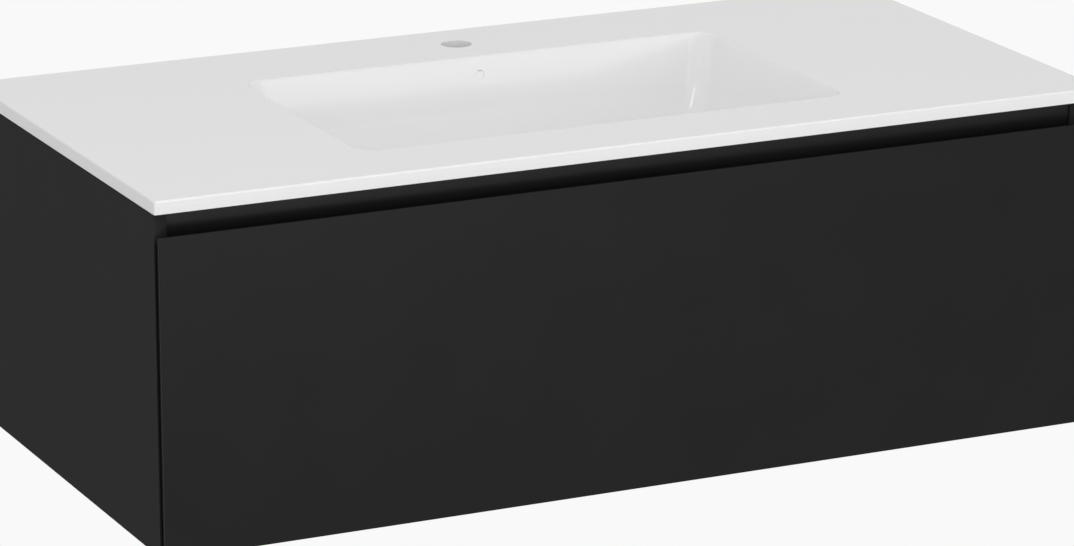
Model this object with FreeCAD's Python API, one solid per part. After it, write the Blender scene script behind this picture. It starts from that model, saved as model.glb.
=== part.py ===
"""Wall-hung vanity unit with one wide drawer under a cast top with a basin.

Lengths are in millimetres. X runs to the right, Y towards the wall and Z up. The origin lies in
the wall plane, in the middle of the four wall screws. Each piece is written as one STEP file.
"""
import FreeCAD
import Part
import math
import os

# Whole unit
WIDTH = 1050.0  # the top, left to right
DEPTH = 522.0  # the top, wall to front edge
CABINET_HEIGHT = 345.0  # side panels
SIDE_OVERHANG = 0.5  # the top, past the side panels
HANGING_DROP = 90.0  # top surface down to the middle of the wall screws
OVERRUN = 1.0  # how far a cut runs past the face that it starts from
SLACK = 0.1  # play round a screw, dowel, bolt or pipe in its hole

# Cast top and basin
TOP_THICKNESS = 14.0
TOP_EDGE_ROUND = 2.0
SEALANT_THICKNESS = 1.0
SEALANT_WIDTH = 9.0
BOWL_WIDTH = 544.0
BOWL_FROM_FRONT = 86.5
BOWL_DEPTH = 105.0
BOWL_WALL = 12.0
BOWL_CORNER = 24.0
BOWL_DRAFT = 8.0
BOWL_FLOOR_ROUND = 60.0
BOWL_RIM_ROUND = 2.5
RIM_STEPS = 3
FLOOR_STEPS = 6
DISH_DROP = 3.0  # fall of the floor towards the waste
DISH_SHARE = 0.9  # of the flat floor's half length
TAP_HOLE_DIAMETER = 33.0
TAP_FROM_WALL = 62.5
TAP_CLEARANCE = 7.5  # tap hole to the block behind the basin
OVERFLOW_DIAMETER = 17.0
OVERFLOW_DROP = 20.0  # top surface down to the middle of the hole
BOSS_WIDTH = 40.0  # block behind the basin that turns the overflow down
BOSS_DEPTH = 22.0
BOSS_HEIGHT = 30.0

# Waste and overflow pipe
FLANGE_RADIUS = 32.0
FLANGE_THICKNESS = 3.0
FLANGE_PLAY = 1.0
WASTE_BODY_RADIUS = 20.5
WASTE_TAIL_RADIUS = 20.95  # outside of a 1 1/4 inch pipe thread
WASTE_WALL = 3.0
DRAIN_PLAY = 2.0
UPPER_SEAL_THICKNESS = 1.5
LOWER_SEAL_THICKNESS = 4.0
LOWER_SEAL_RADIUS = 33.0
NUT_HEIGHT = 12.0
NUT_RADIUS = 31.0  # to the six corners
STUB_DROP = 20.0  # nut down to the middle of the overflow inlet
STUB_LENGTH = 20.0
TAIL_LENGTH = 18.0
PIPE_RADIUS = 9.0
PIPE_WALL = 2.0
PIPE_BEND = 26.0
PIPE_NUT_LENGTH = 14.0
PIPE_NUT_WALL = 3.0
PLUG_RADIUS = 29.0
PLUG_THICKNESS = 5.0
PLUG_EDGE_ROUND = 2.0
PLUG_LIFT = 8.0  # plug above the flange when it is open
STEM_RADIUS = 4.0
STEM_PLAY = 0.3
SPIDER_DROP = 14.0  # flange top down to the spider that guides the stem
SPIDER_HEIGHT = 10.0
SPIDER_HUB = 7.0
SPIDER_RIB = 2.5
SPIDER_RIBS = 3

# Boards of the cabinet
PANEL_THICKNESS = 22.0
BOARD_THICKNESS = 18.0
TIP_SETBACK = 4.0  # front tips of the side panels behind the front edge of the top
RAIL_SETBACK = 2.5  # front rail behind the inner ends of the panels' mitres
FRONT_RAIL_HEIGHT = 70.0
REAR_RAIL_HEIGHT = 42.0
LOWER_RAIL_HEIGHT = 80.0
WALL_SPACE = 20.0  # between the wall and the rear rails
BOTTOM_BACK_GAP = 20.0  # between the wall and the bottom panel

# Fittings that join the boards
CAM_RADIUS = 7.5
CAM_DEPTH = 12.5
CAM_FROM_END = 34.0
CAM_FROM_TOP = 10.0  # on the rear rail
CAM_SLOT_LENGTH = 9.0
CAM_SLOT_WIDTH = 1.6
CAM_SLOT_DEPTH = 2.0
CAM_BOLT_RADIUS = 3.0
CAM_BOLT_GRIP = 11.0  # length of the bolt in the side panel
DOWEL_RADIUS = 4.0
DOWEL_LENGTH = 28.0
DOWEL_GRIP = 11.0  # length of the dowel in the side panel
DOWEL_SPACING = 22.0  # dowel from the cam beside it
BOTTOM_CAM_SHARES = (0.12, 0.5, 0.88)  # of the bottom panel's depth

# Wall plates and hangers
SCREW_SPACING = 32.0  # the two wall screws of a plate, one above the other
WALL_HOLE_DIAMETER = 7.0
PLATE_WIDTH = 44.0
PLATE_MARGIN = 14.0  # screw to the plate's upper and lower edges
PLATE_THICKNESS = 2.5
PLATE_LIP_REACH = 12.0
PLATE_LIP_HEIGHT = 14.0
PLATE_FROM_PANEL = 32.0  # side panel to the middle of the plate
HOOK_THICKNESS = 4.0
HOOK_HEIGHT = 10.0
HOOK_FINGER = 3.0  # thickness of the turned-down end
HOOK_FINGER_DROP = 9.0
HOOK_PLAY = 0.2
HOOK_GRIP = 34.0  # length inside the hanger
HOOK_SLOT_PLAY = 2.0
HANGER_WIDTH = 40.0
HANGER_LENGTH = 52.0
HANGER_HEIGHT = 36.0
HANGER_SCREW_RADIUS = 4.0
HANGER_SCREW_HEAD = 2.5
HANGER_SCREW_SPACING = 16.0

# Drawer front
FRONT_THICKNESS = 22.0
FRONT_PROUD = 3.0  # front face before the front edge of the top
FRONT_INSET = 2.5  # side edges inside the side panels' outer faces
FRONT_LAND = 6.0  # square part of the side edges, before the mitre
GRIP_HEIGHT = 21.0  # side panels' top edge down to the drawer front
GRIP_LAND = 2.0  # square part of the top edge, before the bevel
FRONT_GAP = 2.0  # drawer front to the bottom panel
STOP_RADIUS = 5.0
STOP_PLAY = 0.3
STOP_SHARES = (-0.85, -0.3, 0.3, 0.85)  # of the bottom panel's half width

# Runners
SHEET = 1.5  # steel of the rails
RUNNER_LIFT = 4.0  # cabinet rails above the bottom panel
RUNNER_FRONT_GAP = 4.0  # behind the drawer front
RUNNER_BACK_GAP = 12.0  # before the rear rails
CABINET_RAIL_HEIGHT = 36.0
CABINET_RAIL_WIDTH = 36.0
CABINET_RAIL_LIP = 12.0
MIDDLE_RAIL_WIDTH = 22.0
MIDDLE_RAIL_HEIGHT = 10.0
DRAWER_RAIL_WIDTH = 28.0
DRAWER_RAIL_DROP = 9.0
ROLLER_RADIUS = 2.0
ROLLER_LENGTH = 12.0
ROLLER_PLAY = 0.15
ROLLERS = 8
CAGE_WIDTH = 18.0
CAGE_LENGTH = 210.0
CAGE_THICKNESS = 1.6
RAIL_SCREW_HEAD_RADIUS = 4.0
RAIL_SCREW_HEAD = 1.8
RAIL_SCREW_RADIUS = 2.0
RAIL_SCREW_GRIP = 14.0
RAIL_SCREW_DROP = 7.0  # below the rail's upper edge
RAIL_SCREW_SHARES = (0.08, 0.5, 0.92)  # of the rail's length
SOFT_CLOSE_WIDTH = 13.0
SOFT_CLOSE_HEIGHT = 13.0
SOFT_CLOSE_LENGTH = 150.0
SOFT_CLOSE_SLOT = 5.0

# Drawer box
DRAWER_SHEET = 1.2  # steel of the drawer sides
SIDE_THICKNESS = 13.0
SIDE_FROM_PANEL = 24.5
SIDE_FOOT = 12.0
SIDE_LEDGE = 20.0  # carries the bottom board
HEADROOM = 16.0  # waste down to the drawer sides
DRAWER_BOARD = 16.0
NOTCH_WIDTH = 240.0
NOTCH_LENGTH = 190.0
GUARD_THICKNESS = 6.0
BRACKET_SHEET = 2.0
BRACKET_WIDTH = 32.0
BRACKET_LENGTH = 44.0
BRACKET_MARGIN = 10.0  # above the bottom board and below the drawer side's upper edge
BRACKET_SCREW_RADIUS = 2.0
BRACKET_SCREW_GRIP = 12.0
BRACKET_SCREW_HEAD_RADIUS = 4.0
BRACKET_SCREW_HEAD = 2.2
BRACKET_SCREW_SHARES = (0.2, 0.8)  # of the bracket's height

# Places that follow from the sizes
TOP_Z = HANGING_DROP
SLAB_Z = TOP_Z - TOP_THICKNESS
CABINET_TOP = SLAB_Z - SEALANT_THICKNESS
CABINET_BOTTOM = CABINET_TOP - CABINET_HEIGHT
FLOOR_Z = CABINET_BOTTOM + BOARD_THICKNESS
OUTER_X = WIDTH / 2 - SIDE_OVERHANG
INNER_X = OUTER_X - PANEL_THICKNESS
FRONT_Y = -DEPTH - FRONT_PROUD
FRONT_BACK_Y = FRONT_Y + FRONT_THICKNESS
TIP_Y = TIP_SETBACK - DEPTH
MITRE_Y = TIP_Y + PANEL_THICKNESS
RAIL_Y = MITRE_Y + RAIL_SETBACK
REAR_Y = -WALL_SPACE - BOARD_THICKNESS
BOSS_BACK_Y = -TAP_FROM_WALL - TAP_HOLE_DIAMETER / 2 - TAP_CLEARANCE
BOWL_BACK_Y = BOSS_BACK_Y - BOSS_DEPTH - BOWL_WALL
BOWL_LENGTH = DEPTH + BOWL_BACK_Y - BOWL_FROM_FRONT
BOWL_Y = BOWL_BACK_Y - BOWL_LENGTH / 2
BOWL_FLOOR_Z = TOP_Z - BOWL_DEPTH
SHELL_Z = BOWL_FLOOR_Z - BOWL_WALL
FLANGE_Z = BOWL_FLOOR_Z - DISH_DROP
SEAT_Z = FLANGE_Z - FLANGE_THICKNESS - UPPER_SEAL_THICKNESS
NUT_Z = SHELL_Z - LOWER_SEAL_THICKNESS
STUB_Z = NUT_Z - NUT_HEIGHT - STUB_DROP
TAIL_TOP_Z = STUB_Z - PIPE_RADIUS - OVERRUN
TAIL_Z = TAIL_TOP_Z - TAIL_LENGTH
STUB_END_Y = BOWL_Y + WASTE_BODY_RADIUS + STUB_LENGTH
PIPE_Y = BOSS_BACK_Y - BOSS_DEPTH / 2
BOSS_Z = SLAB_Z - BOSS_HEIGHT
RUNNER_Z = FLOOR_Z + RUNNER_LIFT
RUNNER_Y = (FRONT_BACK_Y + RUNNER_FRONT_GAP, REAR_Y - RUNNER_BACK_GAP)
ROLLER_STEP = 2 * ROLLER_RADIUS + 2 * ROLLER_PLAY
MIDDLE_Z = RUNNER_Z + SHEET + ROLLER_STEP
CHANNEL_Z = MIDDLE_Z + MIDDLE_RAIL_HEIGHT + ROLLER_STEP
DRAWER_Z = CHANNEL_Z + SHEET
BOARD_Z = DRAWER_Z + DRAWER_SHEET
DRAWER_FLOOR_Z = BOARD_Z + DRAWER_BOARD
SIDE_TOP_Z = TAIL_Z - HEADROOM
DRAWER_INNER_X = INNER_X - SIDE_FROM_PANEL - SIDE_THICKNESS
DRAWER_Y = (FRONT_BACK_Y, RUNNER_Y[1])
NOTCH_Y = DRAWER_Y[1] - NOTCH_LENGTH
PLATE_X = INNER_X - PLATE_FROM_PANEL
PLATE_HALF = SCREW_SPACING / 2 + PLATE_MARGIN
LIP_TOP_Z = PLATE_HALF + PLATE_LIP_HEIGHT
HOOK_Z = LIP_TOP_Z + HOOK_PLAY
RAIL_SCREW_Z = RUNNER_Z + CABINET_RAIL_HEIGHT - RAIL_SCREW_DROP

Vector = FreeCAD.Vector
ALONG_X = Vector(1, 0, 0)
ALONG_Y = Vector(0, 1, 0)
ALONG_Z = Vector(0, 0, 1)


def block(x, y, z):
    """Return a box from three (low, high) pairs."""
    return Part.makeBox(x[1] - x[0], y[1] - y[0], z[1] - z[0], Vector(x[0], y[0], z[0]))


def centred(middle, size):
    """Return the (low, high) pair of a size about its middle."""
    return (middle - size / 2, middle + size / 2)


def inward(low, high):
    """Return the x pair of two distances inward from the right side panel's inner face."""
    return (INNER_X - high, INNER_X - low)


def along(pair, share):
    """Return the place at a share of the way along a (low, high) pair."""
    return pair[0] + (pair[1] - pair[0]) * share


def prism(points, sweep):
    """Return the solid that a closed outline makes along a vector."""
    return Part.Face(Part.makePolygon(points + points[:1])).extrude(sweep)


def rod(radius, start, end):
    """Return a round bar between two points."""
    axis = end - start
    return Part.makeCylinder(radius, axis.Length, start, axis)


def ring(outer, inner, start, end):
    """Return a round bar with a bore along it."""
    return rod(outer, start, end).cut(rod(inner, start, end))


def fused(first, *others):
    """Return solids joined into one, with the seams between flush faces taken out."""
    return first.multiFuse(list(others)).removeSplitter()


def mirrored(shape):
    """Return the same shape on the other side of the unit."""
    return shape.mirror(Vector(0, 0, 0), ALONG_X)


def save(name, *solids):
    """Write one piece, or a group of separate solids, as a STEP file."""
    shape = solids[0] if len(solids) == 1 else Part.makeCompound(list(solids))
    shape.exportStep(f"parts/{name}.step")


def save_pair(name, right):
    """Write a right-hand piece, or list of solids, and its mirror image."""
    solids = right if isinstance(right, list) else [right]
    save(f"right_{name}", *solids)
    save(f"left_{name}", *[mirrored(solid) for solid in solids])


def save_both_sides(name, right):
    """Write the solids of both sides as one group."""
    save(name, *right, *[mirrored(solid) for solid in right])


def bowl_ring(inset, corner, z):
    """Return the basin's opening, drawn in by an inset, as a level wire with round corners."""
    half = (BOWL_WIDTH / 2 - inset - corner, BOWL_LENGTH / 2 - inset - corner)
    edges = []
    ends = []
    for quarter, (sign_x, sign_y) in enumerate(((1, 1), (-1, 1), (-1, -1), (1, -1))):
        middle = Vector(sign_x * half[0], BOWL_Y + sign_y * half[1], z)
        points = []
        for eighth in range(3):
            angle = math.radians(90.0 * quarter + 45.0 * eighth)
            points.append(middle + Vector(corner * math.cos(angle), corner * math.sin(angle), 0))
        edges.append(Part.Arc(*points).toShape())
        ends.append((points[0], points[2]))
    for quarter in range(4):
        edges.append(Part.LineSegment(ends[quarter][1], ends[(quarter + 1) % 4][0]).toShape())
    return Part.Wire(Part.__sortEdges__(edges))


def bowl_turn(wall):
    """Return (inset, height) pairs from the side of the bowl round to its floor.

    A wall of 0 is the inside, and the bowl's wall gives the outside.
    """
    radius = BOWL_FLOOR_ROUND + wall
    start_z = BOWL_FLOOR_Z + BOWL_FLOOR_ROUND
    pairs = []
    for step in range(FLOOR_STEPS + 1):
        angle = math.radians(90.0) * step / FLOOR_STEPS
        inset = BOWL_DRAFT - wall + radius * (1 - math.cos(angle))
        pairs.append((inset, start_z - radius * math.sin(angle)))
    return pairs


def bowl_inside():
    """Return the space inside the basin, with a rounded rim."""
    wide = BOWL_CORNER + BOWL_RIM_ROUND
    wires = [bowl_ring(-BOWL_RIM_ROUND, wide, TOP_Z + OVERRUN)]
    for step in range(RIM_STEPS + 1):
        angle = math.radians(90.0) * step / RIM_STEPS
        spread = BOWL_RIM_ROUND * (1 - math.sin(angle))
        drop = BOWL_RIM_ROUND * (1 - math.cos(angle))
        wires.append(bowl_ring(-spread, BOWL_CORNER + spread, TOP_Z - drop))
    wires += [bowl_ring(inset, BOWL_CORNER, z) for inset, z in bowl_turn(0)]
    return Part.makeLoft(wires, True, True)


def bowl_outside():
    """Return the body of the basin below the slab, without its hollow."""
    corner = BOWL_CORNER + BOWL_WALL
    wires = [bowl_ring(-BOWL_WALL, corner, TOP_Z - TOP_THICKNESS / 2)]
    wires += [bowl_ring(inset, corner, z) for inset, z in bowl_turn(BOWL_WALL)]
    return Part.makeLoft(wires, True, True)


def basin_top():
    """Return the cast top: a slab with the basin, tap hole, overflow and drain hole."""
    slab = block(centred(0, WIDTH), (-DEPTH, 0), (SLAB_Z, TOP_Z))
    outer_edges = [edge for edge in slab.Edges if edge.BoundBox.ZMax > SLAB_Z + TOP_EDGE_ROUND]
    slab = slab.makeFillet(TOP_EDGE_ROUND, outer_edges)
    boss_y = (BOWL_BACK_Y - BOWL_DRAFT, BOSS_BACK_Y)
    boss = block(centred(0, BOSS_WIDTH), boss_y, (BOSS_Z, SLAB_Z + TOP_THICKNESS / 2))
    body = slab.fuse(bowl_outside()).fuse(boss).cut(bowl_inside())
    drain = Vector(0, BOWL_Y, 0)
    dish_radius = DISH_SHARE * (BOWL_LENGTH / 2 - BOWL_DRAFT - BOWL_FLOOR_ROUND)
    recess_radius = FLANGE_RADIUS + FLANGE_PLAY
    overflow_z = TOP_Z - OVERFLOW_DROP
    overflow = OVERFLOW_DIAMETER / 2
    overflow_start = Vector(0, BOWL_BACK_Y - BOWL_DRAFT - OVERRUN, overflow_z)
    pipe_bore = PIPE_RADIUS - PIPE_WALL
    drain_radius = WASTE_BODY_RADIUS + DRAIN_PLAY
    tap = Vector(0, -TAP_FROM_WALL, 0)
    cuts = [
        Part.makeCone(recess_radius, dish_radius, DISH_DROP, drain + ALONG_Z * FLANGE_Z, ALONG_Z),
        rod(recess_radius, drain + ALONG_Z * SEAT_Z, drain + ALONG_Z * BOWL_FLOOR_Z),
        rod(drain_radius, drain + ALONG_Z * (SHELL_Z - OVERRUN), drain + ALONG_Z * FLANGE_Z),
        rod(TAP_HOLE_DIAMETER / 2, tap + ALONG_Z * (SLAB_Z - OVERRUN), tap + ALONG_Z * (TOP_Z + OVERRUN)),
        rod(overflow, overflow_start, Vector(0, PIPE_Y, overflow_z)),
        rod(pipe_bore, Vector(0, PIPE_Y, BOSS_Z - OVERRUN), Vector(0, PIPE_Y, overflow_z)),
    ]
    for cut in cuts:
        body = body.cut(cut)
    return body.removeSplitter()


def sealant():
    """Return the strips of sealant that bed the top on the boards."""
    z = (CABINET_TOP, SLAB_Z)
    panel_x = centred(INNER_X + PANEL_THICKNESS / 2, SEALANT_WIDTH)
    right = block(panel_x, (MITRE_Y, REAR_Y), z)
    rails = []
    for rail_y in (RAIL_Y, REAR_Y):
        strip_y = centred(rail_y + BOARD_THICKNESS / 2, SEALANT_WIDTH)
        rails.append(block(centred(0, 2 * INNER_X), strip_y, z))
    return [right, mirrored(right)] + rails


def waste_pieces():
    """Write the waste, its seals and nut, the push plug and the overflow pipe."""
    drain = Vector(0, BOWL_Y, 0)
    bore = WASTE_BODY_RADIUS - WASTE_WALL
    flange_bottom = FLANGE_Z - FLANGE_THICKNESS
    loose = WASTE_BODY_RADIUS + SLACK

    def at(z):
        return drain + ALONG_Z * z

    stub_end = Vector(0, STUB_END_Y, STUB_Z)
    spider_z = (FLANGE_Z - SPIDER_DROP - SPIDER_HEIGHT, FLANGE_Z - SPIDER_DROP)
    ribs = []
    for index in range(SPIDER_RIBS):
        rib = block((0, bore + WASTE_WALL / 2), centred(0, SPIDER_RIB), spider_z)
        rib.rotate(Vector(0, 0, 0), ALONG_Z, 360.0 * index / SPIDER_RIBS)
        rib.translate(drain)
        ribs.append(rib)
    body = fused(
        rod(FLANGE_RADIUS, at(flange_bottom), at(FLANGE_Z)),
        rod(WASTE_BODY_RADIUS, at(TAIL_TOP_Z), at(FLANGE_Z)),
        rod(WASTE_TAIL_RADIUS, at(TAIL_Z), at(TAIL_TOP_Z)),
        rod(PIPE_RADIUS, at(STUB_Z), stub_end),
    )
    body = body.cut(rod(bore, at(TAIL_Z - OVERRUN), at(FLANGE_Z + OVERRUN)))
    body = body.cut(rod(PIPE_RADIUS - PIPE_WALL, at(STUB_Z), stub_end + ALONG_Y * OVERRUN))
    hub = rod(SPIDER_HUB, at(spider_z[0]), at(spider_z[1]))
    guide = rod(STEM_RADIUS + STEM_PLAY, at(spider_z[0] - OVERRUN), at(spider_z[1] + OVERRUN))
    save("waste_body", fused(body, hub, *ribs).cut(guide))

    save("waste_upper_seal", ring(FLANGE_RADIUS, loose, at(SEAT_Z), at(flange_bottom)))
    save("waste_lower_seal", ring(LOWER_SEAL_RADIUS, loose, at(NUT_Z), at(SHELL_Z)))
    corners = []
    for index in range(6):
        angle = math.radians(60.0 * index)
        corners.append(at(NUT_Z) + Vector(NUT_RADIUS * math.cos(angle), NUT_RADIUS * math.sin(angle), 0))
    nut = prism(corners, ALONG_Z * -NUT_HEIGHT)
    save("waste_nut", nut.cut(rod(loose, at(NUT_Z - NUT_HEIGHT - OVERRUN), at(NUT_Z + OVERRUN))))

    plug_z = FLANGE_Z + PLUG_LIFT
    cap = rod(PLUG_RADIUS, at(plug_z), at(plug_z + PLUG_THICKNESS))
    rim = [edge for edge in cap.Edges if edge.BoundBox.ZMin > plug_z + PLUG_THICKNESS / 2]
    cap = cap.makeFillet(PLUG_EDGE_ROUND, rim)
    save("waste_plug", fused(cap, rod(STEM_RADIUS, at(spider_z[0]), at(plug_z))))

    bend_y = PIPE_Y - PIPE_BEND
    start = Vector(0, PIPE_Y, BOSS_Z)
    bend_start = Vector(0, PIPE_Y, STUB_Z + PIPE_BEND)
    slant = PIPE_BEND * math.sin(math.radians(45.0))
    bend_middle = Vector(0, bend_y + slant, STUB_Z + PIPE_BEND - slant)
    bend_end = Vector(0, bend_y, STUB_Z)
    route = Part.Wire([
        Part.LineSegment(start, bend_start).toShape(),
        Part.Arc(bend_start, bend_middle, bend_end).toShape(),
        Part.LineSegment(bend_end, stub_end).toShape(),
    ])
    tubes = []
    for radius in (PIPE_RADIUS, PIPE_RADIUS - PIPE_WALL):
        section = Part.Wire(Part.makeCircle(radius, start, ALONG_Z))
        tubes.append(route.makePipeShell([section], True, False))
    save("overflow_pipe", tubes[0].cut(tubes[1]))
    nut_radii = (PIPE_RADIUS + SLACK + PIPE_NUT_WALL, PIPE_RADIUS + SLACK)
    half_nut = ALONG_Y * (PIPE_NUT_LENGTH / 2)
    save(
        "overflow_nuts",
        ring(*nut_radii, start - ALONG_Z * PIPE_NUT_LENGTH, start),
        ring(*nut_radii, stub_end - half_nut, stub_end + half_nut),
    )


def cam_joint(y, z, shown):
    """Return the cam, its bolt and their holes for the right end of a board.

    The cam's face shows on the side of the board that the unit vector points to.
    """
    in_plane = ALONG_Z if shown.z == 0 else ALONG_Y
    surface = Vector(INNER_X - CAM_FROM_END, y, z) + shown * (BOARD_THICKNESS / 2)
    cam = rod(CAM_RADIUS, surface - shown * CAM_DEPTH, surface)
    half = CAM_SLOT_LENGTH / 2
    for direction in (ALONG_X, in_plane):
        across = direction.cross(shown) * (CAM_SLOT_WIDTH / 2)
        corners = [
            surface - direction * half - across,
            surface + direction * half - across,
            surface + direction * half + across,
            surface - direction * half + across,
        ]
        cam = cam.cut(prism(corners, shown * -CAM_SLOT_DEPTH))
    pocket = rod(CAM_RADIUS + SLACK, surface - shown * CAM_DEPTH, surface + shown * OVERRUN)
    bolt_start = INNER_X - CAM_FROM_END + CAM_RADIUS + SLACK
    bolt_ends = (Vector(bolt_start, y, z), Vector(INNER_X + CAM_BOLT_GRIP, y, z))
    bolt = rod(CAM_BOLT_RADIUS, *bolt_ends)
    hole = rod(CAM_BOLT_RADIUS + SLACK, bolt_ends[0] - ALONG_X * CAM_RADIUS, bolt_ends[1])
    return cam, bolt, [pocket, hole]


def dowel_joint(y, z):
    """Return a dowel and its hole for the right end of a board."""
    end_x = INNER_X + DOWEL_GRIP
    ends = (Vector(end_x - DOWEL_LENGTH, y, z), Vector(end_x, y, z))
    return rod(DOWEL_RADIUS, *ends), rod(DOWEL_RADIUS + SLACK, *ends)


def board_joints():
    """Return the cams, bolts, dowels and holes of every joint on the right side."""
    front_mid = (RAIL_Y + BOARD_THICKNESS / 2, CABINET_TOP - FRONT_RAIL_HEIGHT / 2)
    lower_mid = (REAR_Y + BOARD_THICKNESS / 2, FLOOR_Z + LOWER_RAIL_HEIGHT / 2)
    rear = (lower_mid[0], CABINET_TOP - CAM_FROM_TOP)
    cam_places = [(*front_mid, ALONG_Y), (*lower_mid, -ALONG_Y), (*rear, -ALONG_Y)]
    dowel_places = []
    for y, z in (front_mid, lower_mid):
        dowel_places += [(y, z - DOWEL_SPACING), (y, z + DOWEL_SPACING)]
    bottom_y = (FRONT_BACK_Y + FRONT_GAP, -BOTTOM_BACK_GAP)
    bottom_z = FLOOR_Z - BOARD_THICKNESS / 2
    for share in BOTTOM_CAM_SHARES:
        y = along(bottom_y, share)
        cam_places.append((y, bottom_z, ALONG_Z))
        dowel_places.append((y + DOWEL_SPACING, bottom_z))
    joints = [cam_joint(*place) for place in cam_places]
    pegs = [dowel_joint(*place) for place in dowel_places]
    holes = [hole for joint in joints for hole in joint[2]] + [peg[1] for peg in pegs]
    return [joint[0] for joint in joints], [joint[1] for joint in joints], [peg[0] for peg in pegs], holes


def rail_screws():
    """Return the screws of the right cabinet rail and their holes in it and in the side panel."""
    screws = []
    holes = []
    for share in RAIL_SCREW_SHARES:
        seat = Vector(INNER_X - SHEET, along(RUNNER_Y, share), RAIL_SCREW_Z)
        tip = seat + ALONG_X * (SHEET + RAIL_SCREW_GRIP)
        head = rod(RAIL_SCREW_HEAD_RADIUS, seat - ALONG_X * RAIL_SCREW_HEAD, seat)
        screws.append(fused(head, rod(RAIL_SCREW_RADIUS, seat, tip)))
        holes.append(rod(RAIL_SCREW_RADIUS + SLACK, seat - ALONG_X * OVERRUN, tip))
    return screws, holes


def hook_slot(play):
    """Return the right hook's arm, grown by a play, from inside its hanger to behind the rear rail."""
    x = centred(PLATE_X, HOOK_THICKNESS + 2 * play)
    y = (REAR_Y - HOOK_GRIP - play, -PLATE_THICKNESS - HOOK_PLAY)
    return block(x, y, (HOOK_Z - play, HOOK_Z + HOOK_HEIGHT + play))


def cabinet_pieces():
    """Write the boards of the cabinet and the fittings that join them."""
    cams, bolts, dowels, holes = board_joints()
    screws, screw_holes = rail_screws()
    both = holes + [mirrored(hole) for hole in holes]

    outline = [
        Vector(OUTER_X, TIP_Y, CABINET_BOTTOM),
        Vector(OUTER_X, 0, CABINET_BOTTOM),
        Vector(INNER_X, 0, CABINET_BOTTOM),
        Vector(INNER_X, MITRE_Y, CABINET_BOTTOM),
    ]
    save_pair("side_panel", prism(outline, ALONG_Z * CABINET_HEIGHT).cut(holes + screw_holes))

    across = centred(0, 2 * INNER_X)
    bottom_y = (FRONT_BACK_Y + FRONT_GAP, -BOTTOM_BACK_GAP)
    boards = {
        "bottom_panel": block(across, bottom_y, (CABINET_BOTTOM, FLOOR_Z)),
        "front_rail": block(
            across, (RAIL_Y, RAIL_Y + BOARD_THICKNESS), (CABINET_TOP - FRONT_RAIL_HEIGHT, CABINET_TOP)
        ),
        "rear_rail": block(across, (REAR_Y, -WALL_SPACE), (CABINET_TOP - REAR_RAIL_HEIGHT, CABINET_TOP)),
        "lower_rear_rail": block(across, (REAR_Y, -WALL_SPACE), (FLOOR_Z, FLOOR_Z + LOWER_RAIL_HEIGHT)),
    }
    slot = hook_slot(HOOK_SLOT_PLAY)
    boards["rear_rail"] = boards["rear_rail"].cut([slot, mirrored(slot)])
    for name, board in boards.items():
        save(name, board.cut(both))
    save_both_sides("cam_locks", cams)
    save_both_sides("cam_bolts", bolts)
    save_both_sides("wood_dowels", dowels)
    save_both_sides("rail_screws", screws)
    save("top_sealant", *sealant())

    stop_y = (FRONT_BACK_Y + STOP_PLAY, FRONT_BACK_Y + FRONT_GAP)
    stops = []
    for share in STOP_SHARES:
        place = Vector(INNER_X * share, 0, FLOOR_Z - BOARD_THICKNESS / 2)
        stops.append(rod(STOP_RADIUS, place + ALONG_Y * stop_y[0], place + ALONG_Y * stop_y[1]))
    save("bump_stops", *stops)


def hanger_pieces():
    """Write the wall plates, and the hangers with their hooks and adjusting screws."""
    plate_x = centred(PLATE_X, PLATE_WIDTH)
    lip_y = -PLATE_LIP_REACH
    plate = fused(
        block(plate_x, (-PLATE_THICKNESS, 0), (-PLATE_HALF, PLATE_HALF)),
        block(plate_x, (lip_y, 0), (PLATE_HALF - PLATE_THICKNESS, PLATE_HALF)),
        block(plate_x, (lip_y, lip_y + PLATE_THICKNESS), (PLATE_HALF - PLATE_THICKNESS, LIP_TOP_Z)),
    )
    for z in centred(0, SCREW_SPACING):
        hole_start = Vector(PLATE_X, -PLATE_THICKNESS - OVERRUN, z)
        plate = plate.cut(rod(WALL_HOLE_DIAMETER / 2, hole_start, Vector(PLATE_X, OVERRUN, z)))
    save_pair("wall_plate", plate)

    finger_y = lip_y + PLATE_THICKNESS + HOOK_PLAY
    finger = block(
        centred(PLATE_X, HOOK_THICKNESS),
        (finger_y, finger_y + HOOK_FINGER),
        (HOOK_Z - HOOK_FINGER_DROP, HOOK_Z + HOOK_HEIGHT),
    )
    save_pair("hanger_hook", fused(hook_slot(0), finger))

    hanger_z = centred(HOOK_Z + HOOK_HEIGHT / 2, HANGER_HEIGHT)
    hanger_y = (REAR_Y - HANGER_LENGTH, REAR_Y)
    hanger = block(inward(0, HANGER_WIDTH), hanger_y, hanger_z)
    save_pair("hanger", hanger.cut(hook_slot(HOOK_PLAY)))
    screws = []
    for z in centred(HOOK_Z + HOOK_HEIGHT / 2, HANGER_SCREW_SPACING):
        seat = Vector(PLATE_X, hanger_y[0], z)
        head = rod(HANGER_SCREW_RADIUS, seat - ALONG_Y * HANGER_SCREW_HEAD, seat)
        slot_z = centred(z, CAM_SLOT_WIDTH)
        slot_y = (seat.y - HANGER_SCREW_HEAD, seat.y - HANGER_SCREW_HEAD / 2)
        screws.append(head.cut(block(centred(PLATE_X, 2 * HANGER_SCREW_RADIUS), slot_y, slot_z)))
    save_both_sides("hanger_screws", screws)


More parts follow.
